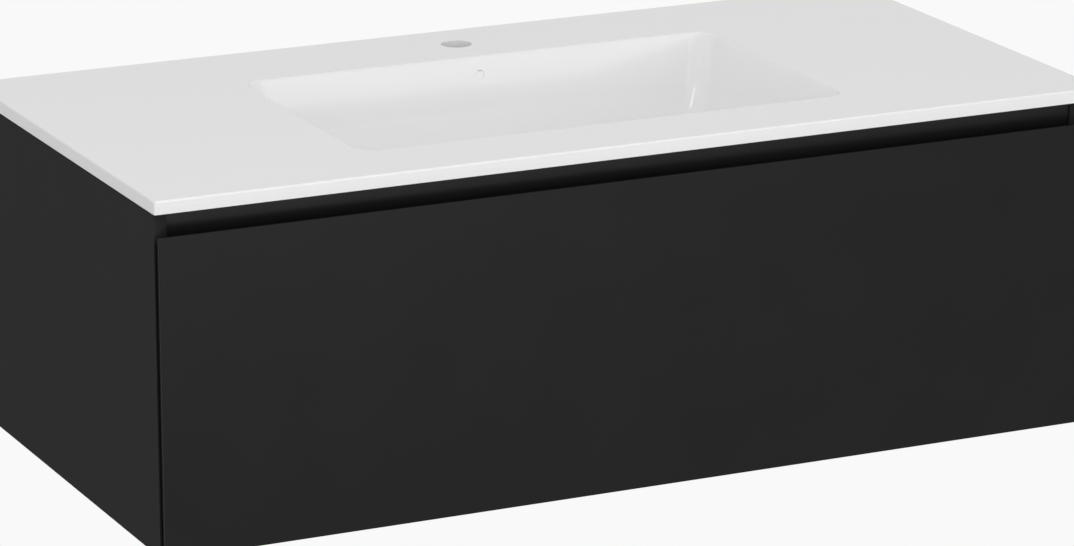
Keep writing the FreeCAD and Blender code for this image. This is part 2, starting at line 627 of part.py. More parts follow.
def roller_cage(z):
    """Return a cage strip and its rollers at a height, in the middle of the right runner."""
    x = inward(0, CABINET_RAIL_WIDTH)
    middle_x = (x[0] + x[1]) / 2
    cage_y = centred(sum(RUNNER_Y) / 2, CAGE_LENGTH)
    cage = block(centred(middle_x, CAGE_WIDTH), cage_y, centred(z, CAGE_THICKNESS))
    rollers = []
    for index in range(ROLLERS):
        start = Vector(middle_x - ROLLER_LENGTH / 2, along(cage_y, (index + 0.5) / ROLLERS), z)
        rollers.append(rod(ROLLER_RADIUS, start, start + ALONG_X * ROLLER_LENGTH))
        pocket_x = centred(middle_x, ROLLER_LENGTH + 2 * ROLLER_PLAY)
        pocket_y = centred(start.y, 2 * ROLLER_RADIUS + 2 * ROLLER_PLAY)
        cage = cage.cut(block(pocket_x, pocket_y, centred(z, CAGE_THICKNESS + 2 * OVERRUN)))
    return cage, rollers


def runner_pieces():
    """Write the three rails of each runner, the roller cages between them and the soft-close units."""
    _, screw_holes = rail_screws()
    web_z = (RUNNER_Z, RUNNER_Z + CABINET_RAIL_HEIGHT)
    sole_z = (RUNNER_Z, RUNNER_Z + SHEET)
    lip_z = (RUNNER_Z, RUNNER_Z + CABINET_RAIL_LIP)
    rail = fused(
        block(inward(0, SHEET), RUNNER_Y, web_z),
        block(inward(0, CABINET_RAIL_WIDTH), RUNNER_Y, sole_z),
        block(inward(CABINET_RAIL_WIDTH - SHEET, CABINET_RAIL_WIDTH), RUNNER_Y, lip_z),
    )
    save_pair("cabinet_rail", rail.cut(screw_holes))

    middle = CABINET_RAIL_WIDTH / 2
    middle_x = inward(*centred(middle, MIDDLE_RAIL_WIDTH))
    middle_z = (MIDDLE_Z, MIDDLE_Z + MIDDLE_RAIL_HEIGHT)
    hollow = block(
        (middle_x[0] + SHEET, middle_x[1] - SHEET),
        (RUNNER_Y[0] - OVERRUN, RUNNER_Y[1] + OVERRUN),
        (middle_z[0] + SHEET, middle_z[1] - SHEET),
    )
    save_pair("middle_rail", block(middle_x, RUNNER_Y, middle_z).cut(hollow))

    edges = centred(middle, DRAWER_RAIL_WIDTH)
    channel_z = (CHANNEL_Z - DRAWER_RAIL_DROP, DRAWER_Z)
    channel = fused(
        block(inward(*edges), RUNNER_Y, (CHANNEL_Z, DRAWER_Z)),
        block(inward(edges[0], edges[0] + SHEET), RUNNER_Y, channel_z),
        block(inward(edges[1] - SHEET, edges[1]), RUNNER_Y, channel_z),
    )
    save_pair("drawer_rail", channel)

    lower_cage, lower_rollers = roller_cage(MIDDLE_Z - ROLLER_STEP / 2)
    upper_cage, upper_rollers = roller_cage(CHANNEL_Z - ROLLER_STEP / 2)
    save_pair("lower_cage", lower_cage)
    save_pair("upper_cage", upper_cage)
    save_pair("lower_rollers", lower_rollers)
    save_pair("upper_rollers", upper_rollers)

    unit_u = (CABINET_RAIL_WIDTH, CABINET_RAIL_WIDTH + SOFT_CLOSE_WIDTH)
    unit_y = (RUNNER_Y[1] - SOFT_CLOSE_LENGTH, RUNNER_Y[1])
    unit_z = (RUNNER_Z, RUNNER_Z + SOFT_CLOSE_HEIGHT)
    track = block(
        inward(*centred(sum(unit_u) / 2, SOFT_CLOSE_SLOT)),
        (unit_y[0] + SOFT_CLOSE_SLOT, unit_y[1] - SOFT_CLOSE_SLOT),
        (unit_z[1] - SOFT_CLOSE_SLOT, unit_z[1] + OVERRUN),
    )
    save_pair("soft_close", block(inward(*unit_u), unit_y, unit_z).cut(track))


def drawer_front():
    """Return the drawer front: mitred side edges, and a top edge bevelled to the back as the grip."""
    top_z = CABINET_TOP - GRIP_HEIGHT
    half = OUTER_X - FRONT_INSET
    bevel = FRONT_THICKNESS - GRIP_LAND
    mitre = FRONT_THICKNESS - FRONT_LAND
    section = [
        Vector(-half, FRONT_Y, CABINET_BOTTOM),
        Vector(-half, FRONT_Y, top_z),
        Vector(-half, FRONT_Y + GRIP_LAND, top_z),
        Vector(-half, FRONT_BACK_Y, top_z - bevel),
        Vector(-half, FRONT_BACK_Y, CABINET_BOTTOM),
    ]
    plan = [
        Vector(-half, FRONT_Y, CABINET_BOTTOM),
        Vector(half, FRONT_Y, CABINET_BOTTOM),
        Vector(half, FRONT_Y + FRONT_LAND, CABINET_BOTTOM),
        Vector(half - mitre, FRONT_BACK_Y, CABINET_BOTTOM),
        Vector(mitre - half, FRONT_BACK_Y, CABINET_BOTTOM),
        Vector(-half, FRONT_Y + FRONT_LAND, CABINET_BOTTOM),
    ]
    return prism(section, ALONG_X * (2 * half)).common(prism(plan, ALONG_Z * CABINET_HEIGHT))


def bracket_and_screws():
    """Return the right front bracket, its screws and their holes in the drawer front."""
    z = (DRAWER_FLOOR_Z + BRACKET_MARGIN, SIDE_TOP_Z - BRACKET_MARGIN)
    plate_x = (DRAWER_INNER_X - BRACKET_WIDTH, DRAWER_INNER_X)
    wing_x = (DRAWER_INNER_X - BRACKET_SHEET, DRAWER_INNER_X)
    bracket = fused(
        block(plate_x, (FRONT_BACK_Y, FRONT_BACK_Y + BRACKET_SHEET), z),
        block(wing_x, (FRONT_BACK_Y, FRONT_BACK_Y + BRACKET_LENGTH), z),
    )
    screws = []
    holes = []
    for share in BRACKET_SCREW_SHARES:
        seat = Vector(sum(plate_x) / 2, FRONT_BACK_Y + BRACKET_SHEET, along(z, share))
        tip = seat - ALONG_Y * (BRACKET_SHEET + BRACKET_SCREW_GRIP)
        head = rod(BRACKET_SCREW_HEAD_RADIUS, seat, seat + ALONG_Y * BRACKET_SCREW_HEAD)
        screws.append(fused(head, rod(BRACKET_SCREW_RADIUS, tip, seat)))
        holes.append(rod(BRACKET_SCREW_RADIUS + SLACK, tip, seat + ALONG_Y * OVERRUN))
    return bracket.cut(holes), screws, holes


def drawer_side():
    """Return the right drawer side: a folded steel wall with a foot on the rail and a ledge inside."""
    outer = SIDE_FROM_PANEL
    inner = SIDE_FROM_PANEL + SIDE_THICKNESS
    wall_z = (DRAWER_Z, SIDE_TOP_Z)
    sole_z = (DRAWER_Z, BOARD_Z)
    return fused(
        block(inward(outer, outer + DRAWER_SHEET), DRAWER_Y, wall_z),
        block(inward(inner - DRAWER_SHEET, inner), DRAWER_Y, wall_z),
        block(inward(outer, inner), DRAWER_Y, (SIDE_TOP_Z - DRAWER_SHEET, SIDE_TOP_Z)),
        block(inward(outer - SIDE_FOOT, outer + DRAWER_SHEET), DRAWER_Y, sole_z),
        block(inward(inner - DRAWER_SHEET, inner + SIDE_LEDGE), DRAWER_Y, sole_z),
    )


def drawer_pieces():
    """Write the drawer front, the box behind it and the fittings between them."""
    bracket, screws, holes = bracket_and_screws()
    save("drawer_front", drawer_front().cut(holes + [mirrored(hole) for hole in holes]))
    save_pair("front_bracket", bracket)
    save_both_sides("bracket_screws", screws)
    save_pair("drawer_side", drawer_side())

    notch_y = (NOTCH_Y, DRAWER_Y[1] + OVERRUN)
    notch = block(centred(0, NOTCH_WIDTH), notch_y, (BOARD_Z - OVERRUN, SIDE_TOP_Z + OVERRUN))
    board = block(centred(0, 2 * DRAWER_INNER_X), DRAWER_Y, (BOARD_Z, DRAWER_FLOOR_Z))
    save("drawer_bottom", board.cut(notch))
    wall_z = (DRAWER_FLOOR_Z, SIDE_TOP_Z)
    guard_x = NOTCH_WIDTH / 2 + GUARD_THICKNESS
    guard = block((-guard_x, guard_x), (NOTCH_Y - GUARD_THICKNESS, DRAWER_Y[1]), wall_z)
    save("notch_guard", guard.cut(notch))
    back_y = (DRAWER_Y[1] - DRAWER_BOARD, DRAWER_Y[1])
    save_pair("drawer_back", block((guard_x, DRAWER_INNER_X), back_y, wall_z))


def main():
    """Build and write every piece."""
    os.makedirs("parts", exist_ok=True)
    save("basin_top", basin_top())
    waste_pieces()
    cabinet_pieces()
    hanger_pieces()
    runner_pieces()
    drawer_pieces()


main()
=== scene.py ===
"""Looks of a wall-hung vanity unit: one wide drawer under a cast top with a basin.

Lengths are in metres, in the frame of the solids: X to the right, Y to the wall and Z up.
"""

import logging
import math
from collections.abc import Callable, Mapping, Sequence
from dataclasses import dataclass
from enum import Enum
from typing import Any, ClassVar

import bmesh
import bpy
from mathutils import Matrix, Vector


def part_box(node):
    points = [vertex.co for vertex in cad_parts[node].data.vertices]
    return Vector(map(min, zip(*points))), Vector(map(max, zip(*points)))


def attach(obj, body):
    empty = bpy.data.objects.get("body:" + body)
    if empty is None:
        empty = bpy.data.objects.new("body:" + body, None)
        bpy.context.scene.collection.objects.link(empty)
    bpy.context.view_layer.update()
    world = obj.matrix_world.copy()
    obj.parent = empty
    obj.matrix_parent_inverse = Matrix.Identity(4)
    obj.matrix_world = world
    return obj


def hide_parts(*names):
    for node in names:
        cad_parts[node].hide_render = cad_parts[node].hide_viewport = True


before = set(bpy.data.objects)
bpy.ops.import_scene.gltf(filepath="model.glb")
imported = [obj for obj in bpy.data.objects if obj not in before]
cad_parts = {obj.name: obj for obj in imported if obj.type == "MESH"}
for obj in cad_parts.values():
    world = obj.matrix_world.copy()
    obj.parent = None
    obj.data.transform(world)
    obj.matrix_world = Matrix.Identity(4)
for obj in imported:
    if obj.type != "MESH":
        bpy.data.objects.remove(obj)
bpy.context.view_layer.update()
log = logging.getLogger("vanity")

Colour = tuple[float, float, float]
Pair = tuple[float, float]
Triple = tuple[float, float, float]
Ring = list[Vector]
Rows = list[list[bmesh.types.BMVert]]

MM = 0.001
WELD = 0.001 * MM
FLAT_ANGLE = math.radians(0.4)
SHARP_ANGLE = math.radians(32)
CREASE_ANGLE = math.radians(34)
QUARTER_TURN = math.pi / 2
HALF = 0.5
WHITE = (1.0, 1.0, 1.0, 1.0)
UNSTRETCHED = (1.0, 1.0, 1.0)
GLOSS = "Specular IOR Level"
# An eased edge, as shares of its size: how far across and how far down.
EASED = ((1.0, 0.0), (0.3, 0.3), (0.0, 1.0))
ALONG_X = Vector((1, 0, 0))
ALONG_Y = Vector((0, 1, 0))
ALONG_Z = Vector((0, 0, 1))


class Side(Enum):
    """The two hands of the unit, with the sign of their X."""

    LEFT = -1
    RIGHT = 1

    def named(self, piece: str) -> str:
        """Return the name of this hand's piece."""
        return f"{self.name.lower()}_{piece}"


class Level(Enum):
    """The two roller cages of a runner."""

    LOWER = "lower"
    UPPER = "upper"

    def named(self, piece: str) -> str:
        """Return the name of this level's piece."""
        return f"{self.value}_{piece}"


class Layers(Enum):
    """How many finer layers a noise has."""

    ONE = 1.0
    TWO = 2.0
    THREE = 3.0


class Socket:
    """A node's output. Arithmetic on it adds Math nodes to its graph."""

    def __init__(self, graph: "Graph", output: bpy.types.NodeSocket | None) -> None:
        """Keep the graph and the output that the value comes from."""
        self.graph = graph
        self.output = output

    def math(self, operation: str, first: "Value", second: "Value" = 0.0) -> "Socket":
        """Return a Math node on two values."""
        return self.graph.node("ShaderNodeMath", {"operation": operation}, {0: first, 1: second})

    def __add__(self, other: "Value") -> "Socket":
        """Return self + other."""
        return self.math("ADD", self, other)

    def __radd__(self, other: "Value") -> "Socket":
        """Return other + self."""
        return self.math("ADD", other, self)

    def __sub__(self, other: "Value") -> "Socket":
        """Return self - other."""
        return self.math("SUBTRACT", self, other)

    def __rsub__(self, other: "Value") -> "Socket":
        """Return other - self."""
        return self.math("SUBTRACT", other, self)

    def __mul__(self, other: "Value") -> "Socket":
        """Return self * other."""
        return self.math("MULTIPLY", self, other)

    def __rmul__(self, other: "Value") -> "Socket":
        """Return other * self."""
        return self.math("MULTIPLY", other, self)

    def __truediv__(self, other: "Value") -> "Socket":
        """Return self / other."""
        return self.math("DIVIDE", self, other)

    def __rtruediv__(self, other: "Value") -> "Socket":
        """Return other / self."""
        return self.math("DIVIDE", other, self)

    def mixed(self, other: "Socket", share: float) -> "Socket":
        """Return the value with a share of another in it."""
        return self * (1.0 - share) + other * share

    def wave(self) -> "Socket":
        """Return a sine wave over the value in radians, from 0 to 1."""
        return self.math("SINE", self) * HALF + HALF

    def smooth(self) -> "Socket":
        """Return a smooth step over a value from 0 to 1."""
        return self * self * (3.0 - 2.0 * self)

    def limited(self) -> "Socket":
        """Return the value held between 0 and 1."""
        return self.graph.node("ShaderNodeClamp", {}, {0: self})


Value = Socket | float | Sequence[float]


def rgba(colour: Colour | Socket) -> Socket | tuple[float, float, float, float]:
    """Return a colour with an alpha of 1, or the socket as it is."""
    return colour if isinstance(colour, Socket) else (*colour, 1.0)


class Graph:
    """The nodes of one material or world."""

    def __init__(self, owner: bpy.types.Material | bpy.types.World) -> None:
        """Start with an empty tree.

        Args:
            owner: The material or world that the nodes belong to.
        """
        owner.use_nodes = True
        self.tree = owner.node_tree
        self.tree.nodes.clear()

    def node(
        self,
        kind: str,
        settings: Mapping[str, Any] | None = None,
        sockets: Mapping[int | str, Value] | None = None,
        output: int | str = 0,
    ) -> Socket:
        """Add a node.

        Args:
            kind: The node's type.
            settings: Its properties, which are set first.
            sockets: The values or links of its inputs, by index or name.
            output: The output that is wanted, by index or name.

        Returns:
            That output, or an empty socket where the node has none.
        """
        made = self.tree.nodes.new(kind)
        for key, setting in (settings or {}).items():
            setattr(made, key, setting)
        for key, value in (sockets or {}).items():
            if isinstance(value, Socket):
                self.tree.links.new(value.output, made.inputs[key])
            else:
                made.inputs[key].default_value = value
        return Socket(self, made.outputs[output] if len(made.outputs) else None)

    def place(self, stretch: Triple = UNSTRETCHED) -> Socket:
        """Return the point on the piece, in metres times a stretch on each axis."""
        point = self.node("ShaderNodeTexCoord", output="Object")
        return self.node("ShaderNodeVectorMath", {"operation": "MULTIPLY"}, {0: point, 1: stretch})

    def axis(self, name: str) -> Socket:
        """Return the point's X, Y or Z in metres."""
        return self.node("ShaderNodeSeparateXYZ", {}, {0: self.place()}, name)

    def noise(self, size: float, layers: Layers = Layers.TWO, stretch: Triple = UNSTRETCHED) -> Socket:
        """Return a noise with features of a size in metres.

        Args:
            size: The features' size.
            layers: How many finer layers it has.
            stretch: Factors on the point's axes; a small one draws the features out.

        Returns:
            The noise, from 0 to 1.
        """
        sockets = {"Vector": self.place(stretch), "Scale": 1.0 / size, "Detail": layers.value}
        return self.node("ShaderNodeTexNoise", {}, sockets)

    def flakes(self, size: float) -> Socket:
        """Return one random value for each cell of a crystal pattern.

        Args:
            size: The cells' size in metres.

        Returns:
            The value, from 0 to 1.
        """
        sockets = {"Vector": self.place(), "Scale": 1.0 / size}
        colour = self.node("ShaderNodeTexVoronoi", {}, sockets, "Color")
        return self.node("ShaderNodeSeparateColor", {}, {0: colour})

    def blend(self, factor: Value, first: Colour | Socket, second: Colour | Socket) -> Socket:
        """Return a colour between two, by a factor."""
        sockets = {0: factor, 6: rgba(first), 7: rgba(second)}
        return self.node("ShaderNodeMix", {"data_type": "RGBA"}, sockets, 2)

    def close(self, shader: Socket, kind: str = "ShaderNodeOutputMaterial") -> None:
        """Lead a shader to the output."""
        self.node(kind, {}, {"Surface": shader})

    def surface(
        self,
        colour: Socket,
        roughness: Socket,
        height: Socket,
        depth: float,
        constants: Mapping[str, float],
    ) -> None:
        """Close the material with a Principled shader.

        Args:
            colour: The base colour.
            roughness: The roughness.
            height: The relief, from 0 to 1.
            depth: The relief's depth in metres.
            constants: Sockets that are the same all over.
        """
        normal = self.node("ShaderNodeBump", {}, {"Distance": depth, "Height": height})
        sockets = {"Base Color": colour, "Roughness": roughness, "Normal": normal, **constants}
        self.close(self.node("ShaderNodeBsdfPrincipled", {}, sockets))


@dataclass(frozen=True)
class Finish:
    """A finish: its slot in the record, its colour and how rough it is."""

    slot: str
    colour: Colour
    roughness: float
    made: ClassVar[dict[str, bpy.types.Material]] = {}

    def material(self) -> bpy.types.Material:
        """Make the finish's material on first use.

        Returns:
            The material.
        """
        if self.slot not in self.made:
            material = bpy.data.materials.new(self.slot)
            self.paint(Graph(material))
            self.made[self.slot] = material
        return self.made[self.slot]

    def paint(self, graph: Graph) -> None:
        """Add the finish's nodes to a graph."""
        raise NotImplementedError

    def toned(self, share: float) -> Colour:
        """Return the colour times a share."""
        return tuple(channel * share for channel in self.colour)

    def clouded(self, graph: Graph, cloud: Socket, spread: float) -> Socket:
        """Return the colour, a little lighter and darker where a cloud says so."""
        return graph.blend(cloud, self.toned(1.0 - spread), self.toned(1.0 + spread))

    def dulled(self, cloud: Socket, spread: float) -> Socket:
        """Return the roughness, a little higher and lower where a cloud says so."""
        return self.roughness + (cloud - HALF) * spread


@dataclass(frozen=True)
class CastMineral(Finish):
    """White cast mineral with a polished gel coat."""

    cloud_size: float = 0.16
    grain_size: float = 0.0025
    grain_share: float = 0.3
    spread: float = 0.012
    dulling: float = 0.03
    ripple_size: float = 0.02
    ripple_depth: float = 0.00002
    gloss: float = 0.42

    def paint(self, graph: Graph) -> None:
        """Add faint clouds in the casting and the slow ripple of its polish.

        Args:
            graph: The material's nodes.
        """
        cloud = graph.noise(self.cloud_size, Layers.THREE)
        grain = graph.noise(self.grain_size)
        ripple = graph.noise(self.ripple_size, Layers.ONE)
        colour = self.clouded(graph, cloud.mixed(grain, self.grain_share), self.spread)
        roughness = self.dulled(grain, self.dulling)
        graph.surface(colour, roughness, ripple, self.ripple_depth, {GLOSS: self.gloss})


@dataclass(frozen=True)
class Lacquer(Finish):
    """Deep matt lacquer, sprayed on board."""

    gloss: float = 0.1
    cloud_size: float = 0.09
    speck_size: float = 0.0004
    spread: float = 0.16
    dulling: float = 0.12
    peel_size: float = 0.0016
    peel_depth: float = 0.000012

    def paint(self, graph: Graph) -> None:
        """Add the spray's fine peel, its specks and slow changes of tone.

        Args:
            graph: The material's nodes.
        """
        cloud = graph.noise(self.cloud_size, Layers.THREE)
        speck = graph.noise(self.speck_size, Layers.ONE)
        peel = graph.noise(self.peel_size)
        colour = self.clouded(graph, cloud.mixed(speck, HALF), self.spread)
        roughness = self.dulled(cloud, self.dulling)
        graph.surface(colour, roughness, peel, self.peel_depth, {GLOSS: self.gloss})


@dataclass(frozen=True)
class Melamine(Finish):
    """Board with a pressed melamine face."""

    pearl_size: float = 0.0009
    pearl_depth: float = 0.00004
    cloud_size: float = 0.05
    cloud_share: float = 0.4
    spread: float = 0.2
    polish: float = 0.25
    gloss: float = 0.35

    def paint(self, graph: Graph) -> None:
        """Add the pearl structure of the press plate.

        Args:
            graph: The material's nodes.
        """
        pearl = graph.noise(self.pearl_size)
        cloud = graph.noise(self.cloud_size, Layers.THREE)
        colour = self.clouded(graph, pearl.mixed(cloud, self.cloud_share), self.spread)
        roughness = self.dulled(pearl, -self.polish)
        graph.surface(colour, roughness, pearl, self.pearl_depth, {GLOSS: self.gloss})


@dataclass(frozen=True)
class Linen(Finish):
    """Board with a printed and pressed linen face."""

    pitch: float = 0.0012
    depth: float = 0.00006
    wander_size: float = 0.018
    wander: float = 5.0
    slub_size: float = 0.0018
    slub_draw: float = 0.06
    tones: Pair = (0.62, 1.35)
    polish: float = 0.15
    gloss: float = 0.35

    def paint(self, graph: Graph) -> None:
        """Add crossing threads that wander and change in tone.

        Args:
            graph: The material's nodes.
        """
        rate = 2 * math.pi / self.pitch
        wander = graph.noise(self.wander_size) * self.wander
        warp = (graph.axis("X") * rate + wander).wave()
        weft = ((graph.axis("Y") + graph.axis("Z")) * rate + wander).wave()
        warp_slubs = graph.noise(self.slub_size, stretch=(1.0, self.slub_draw, self.slub_draw))
        weft_slubs = graph.noise(self.slub_size, stretch=(self.slub_draw, 1.0, 1.0))
        weave = warp * warp_slubs + weft * weft_slubs
        dark, light = self.tones
        colour = graph.blend(weave.limited(), self.toned(dark), self.toned(light))
        roughness = self.dulled(weave, -self.polish)
        graph.surface(colour, roughness, weave, self.depth, {GLOSS: self.gloss})


@dataclass(frozen=True)
class Moulded(Finish):
    """Moulded plastic or rubber, or a powder coat, with an even grain."""

    grain_size: float = 0.0008
    grain_depth: float = 0.00003
    spread: float = 0.08
    gloss: float = 0.4
    grain_share: float = 0.3
    cloud_scale: float = 40
    dulling: float = 0.14

    def paint(self, graph: Graph) -> None:
        """Add the grain of the mould or powder and slow changes of tone.

        Args:
            graph: The material's nodes.
        """
        grain = graph.noise(self.grain_size, Layers.THREE)
        cloud = graph.noise(self.grain_size * self.cloud_scale, Layers.THREE)
        colour = self.clouded(graph, cloud.mixed(grain, self.grain_share), self.spread)
        roughness = self.dulled(cloud, self.dulling)
        graph.surface(colour, roughness, grain, self.grain_depth, {GLOSS: self.gloss})


@dataclass(frozen=True)
class Plated(Finish):
    """Plated or polished metal, with rolling marks along the rails."""

    spangle: float = 0.1
    spangle_size: float = 0.007
    mark_depth: float = 0.000006
    mark_size: float = 0.0007
    mark_draw: float = 0.02
    cloud_size: float = 0.03
    clean: float = 0.75
    marked: float = 0.3
    clouding: float = 0.2

    def paint(self, graph: Graph) -> None:
        """Add the flakes of the plating, rolling marks and dull patches.

        Args:
            graph: The material's nodes.
        """
        flakes = graph.flakes(self.spangle_size)
        marks = graph.noise(self.mark_size, Layers.THREE, (1.0, self.mark_draw, 1.0))
        cloud = graph.noise(self.cloud_size, Layers.THREE)
        colour = self.clouded(graph, flakes.mixed(cloud, HALF), self.spangle)
        roughness = self.roughness * (self.clean + marks * self.marked + cloud * self.clouding)
        graph.surface(colour, roughness, marks, self.mark_depth, {"Metallic": 1.0})


@dataclass(frozen=True)
class Beech(Finish):
    """Turned beech with its short dark flecks."""

    fleck_size: float = 0.0012
    fleck_draw: float = 0.25
    fleck_start: float = 0.6
    fleck_contrast: float = 4.0
    fleck_strength: float = 0.6
    fleck_tone: float = 0.5
    grain_draw: float = 0.08
    grain_depth: float = 0.00004
    spread: float = 0.16
    pores: float = 0.1
    gloss: float = 0.3

    def paint(self, graph: Graph) -> None:
        """Add the grain and the flecks along the dowels.

        Args:
            graph: The material's nodes.
        """
        grain = graph.noise(self.fleck_size, Layers.THREE, (self.grain_draw, 1.0, 1.0))
        spots = graph.noise(self.fleck_size, Layers.ONE, (self.fleck_draw, 1.0, 1.0))
        fleck = ((spots - self.fleck_start) * self.fleck_contrast).limited()
        wood = self.clouded(graph, grain, self.spread)
        colour = graph.blend(fleck * self.fleck_strength, wood, self.toned(self.fleck_tone))
        roughness = self.roughness + grain * self.pores
        graph.surface(colour, roughness, grain, self.grain_depth, {GLOSS: self.gloss})


CAST_WHITE = CastMineral("cast_white", (0.894, 0.894, 0.892), 0.085)
# A paler copy of the front's black lacquer with almost no gloss: its lighter colour paints the sheen that the
# side panels show at a slant.
BLACK_PANEL_PAINTED_SHEEN = Lacquer("black_panel", (0.0385, 0.0385, 0.0387), 0.45, gloss=0.002)
BLACK_FRONT = Lacquer("black_front", (0.0075, 0.0075, 0.0076), 0.34, gloss=0.136)
# A near-black, glossier copy of the same lacquer for the rail in the grip recess: its darker colour paints
# the shade at the bottom of the recess.
BLACK_RAIL_PAINTED_SHADE = Lacquer("black_rail", (0.0015, 0.0015, 0.0015), 0.5, gloss=0.315)
CARCASS_BOARD = Melamine("carcass_board", (0.016, 0.016, 0.0165), 0.55)
DRAWER_BOARD = Linen("drawer_board", (0.105, 0.107, 0.112), 0.6)
DRAWER_STEEL = Moulded("drawer_steel", (0.062, 0.064, 0.069), 0.45, 0.0006, 0.000025, 0.1, 0.45)
ZINC_STEEL = Plated("zinc_steel", (0.56, 0.575, 0.6), 0.34)
CAM_ZINC = Plated("cam_zinc", (0.46, 0.465, 0.475), 0.48, 0.06, 0.002, 0.00001)
ROLLER_STEEL = Plated("roller_steel", (0.66, 0.67, 0.69), 0.16, 0.03)
NYLON = Moulded("nylon", (0.71, 0.7, 0.66), 0.42, 0.0012, 0.00001, 0.04)
GREY_PLASTIC = Moulded("grey_plastic", (0.13, 0.134, 0.14), 0.5, 0.0005, 0.00004)
WHITE_PLASTIC = Moulded("white_plastic", (0.76, 0.76, 0.75), 0.36, 0.0015, 0.00001, 0.02)
CHROME = Plated("chrome", (0.74, 0.75, 0.77), 0.08, 0.02, 0.02, 0.000001)
RUBBER = Moulded("rubber", (0.022, 0.022, 0.023), 0.78, 0.0004, 0.00004, 0.2, 0.25)
SEALANT = Moulded("sealant", (0.32, 0.32, 0.315), 0.35, 0.002, 0.00003, 0.05)
BEECH = Beech("beech", (0.5, 0.34, 0.19), 0.6)


def turns(steps: int) -> list[float]:
    """Return the angles of equal steps round a circle."""
    return [2 * math.pi * step / steps for step in range(steps)]


def quarter(steps: int) -> list[float]:
    """Return the angles of equal steps over a quarter turn, with both ends."""
    return [QUARTER_TURN * step / steps for step in range(steps + 1)]


def polar(radius: float, angle: float, height: float = 0.0) -> Vector:
    """Return the point at a radius and an angle about Z."""
    return Vector((radius * math.cos(angle), radius * math.sin(angle), height))


def rounded_ring(
    half: Pair, corner: float, middle: Vector, runs: tuple[Sequence[float], ...], arc: int
) -> Ring:
    """Return a level ring: a rectangle with round corners.

    Args:
        half: Half the sizes along X and Y.
        corner: The corners' radius.
        middle: The middle of the ring.
        runs: Shares from -1 to 1 that divide the straight runs along X and along Y.
        arc: Steps in each corner.

    Returns:
        The points, anticlockwise from above, from the right side's rear end.
    """
    spans = (half[0] - corner, half[1] - corner)
    points = []
    for index, (sign_x, sign_y) in enumerate(((1, 1), (-1, 1), (-1, -1), (1, -1))):
        for step in range(arc + 1):
            angle = (index + step / arc) * QUARTER_TURN
            x = sign_x * spans[0] + corner * math.cos(angle)
            y = sign_y * spans[1] + corner * math.sin(angle)
            points.append(middle + Vector((x, y, 0)))
        for share in runs[index % 2]:
            if index % 2 == 0:
                place = (-sign_x * share * spans[0], sign_y * half[1], 0)
            else:
                place = (sign_x * half[0], -sign_y * share * spans[1], 0)
            points.append(middle + Vector(place))
    return points


def round_ring(radius: float, middle: Vector, axis: Vector, steps: int) -> Ring:
    """Return a circle of points about an axis."""
    turn = axis.to_track_quat("Z", "Y")
    return [middle + turn @ polar(radius, angle) for angle in turns(steps)]


@dataclass(frozen=True)
class Easing:
    """How edges are rounded: their radius, the steps across and the least length of an edge."""

    radius: float
    segments: int = 2
    longer: float = 0.0


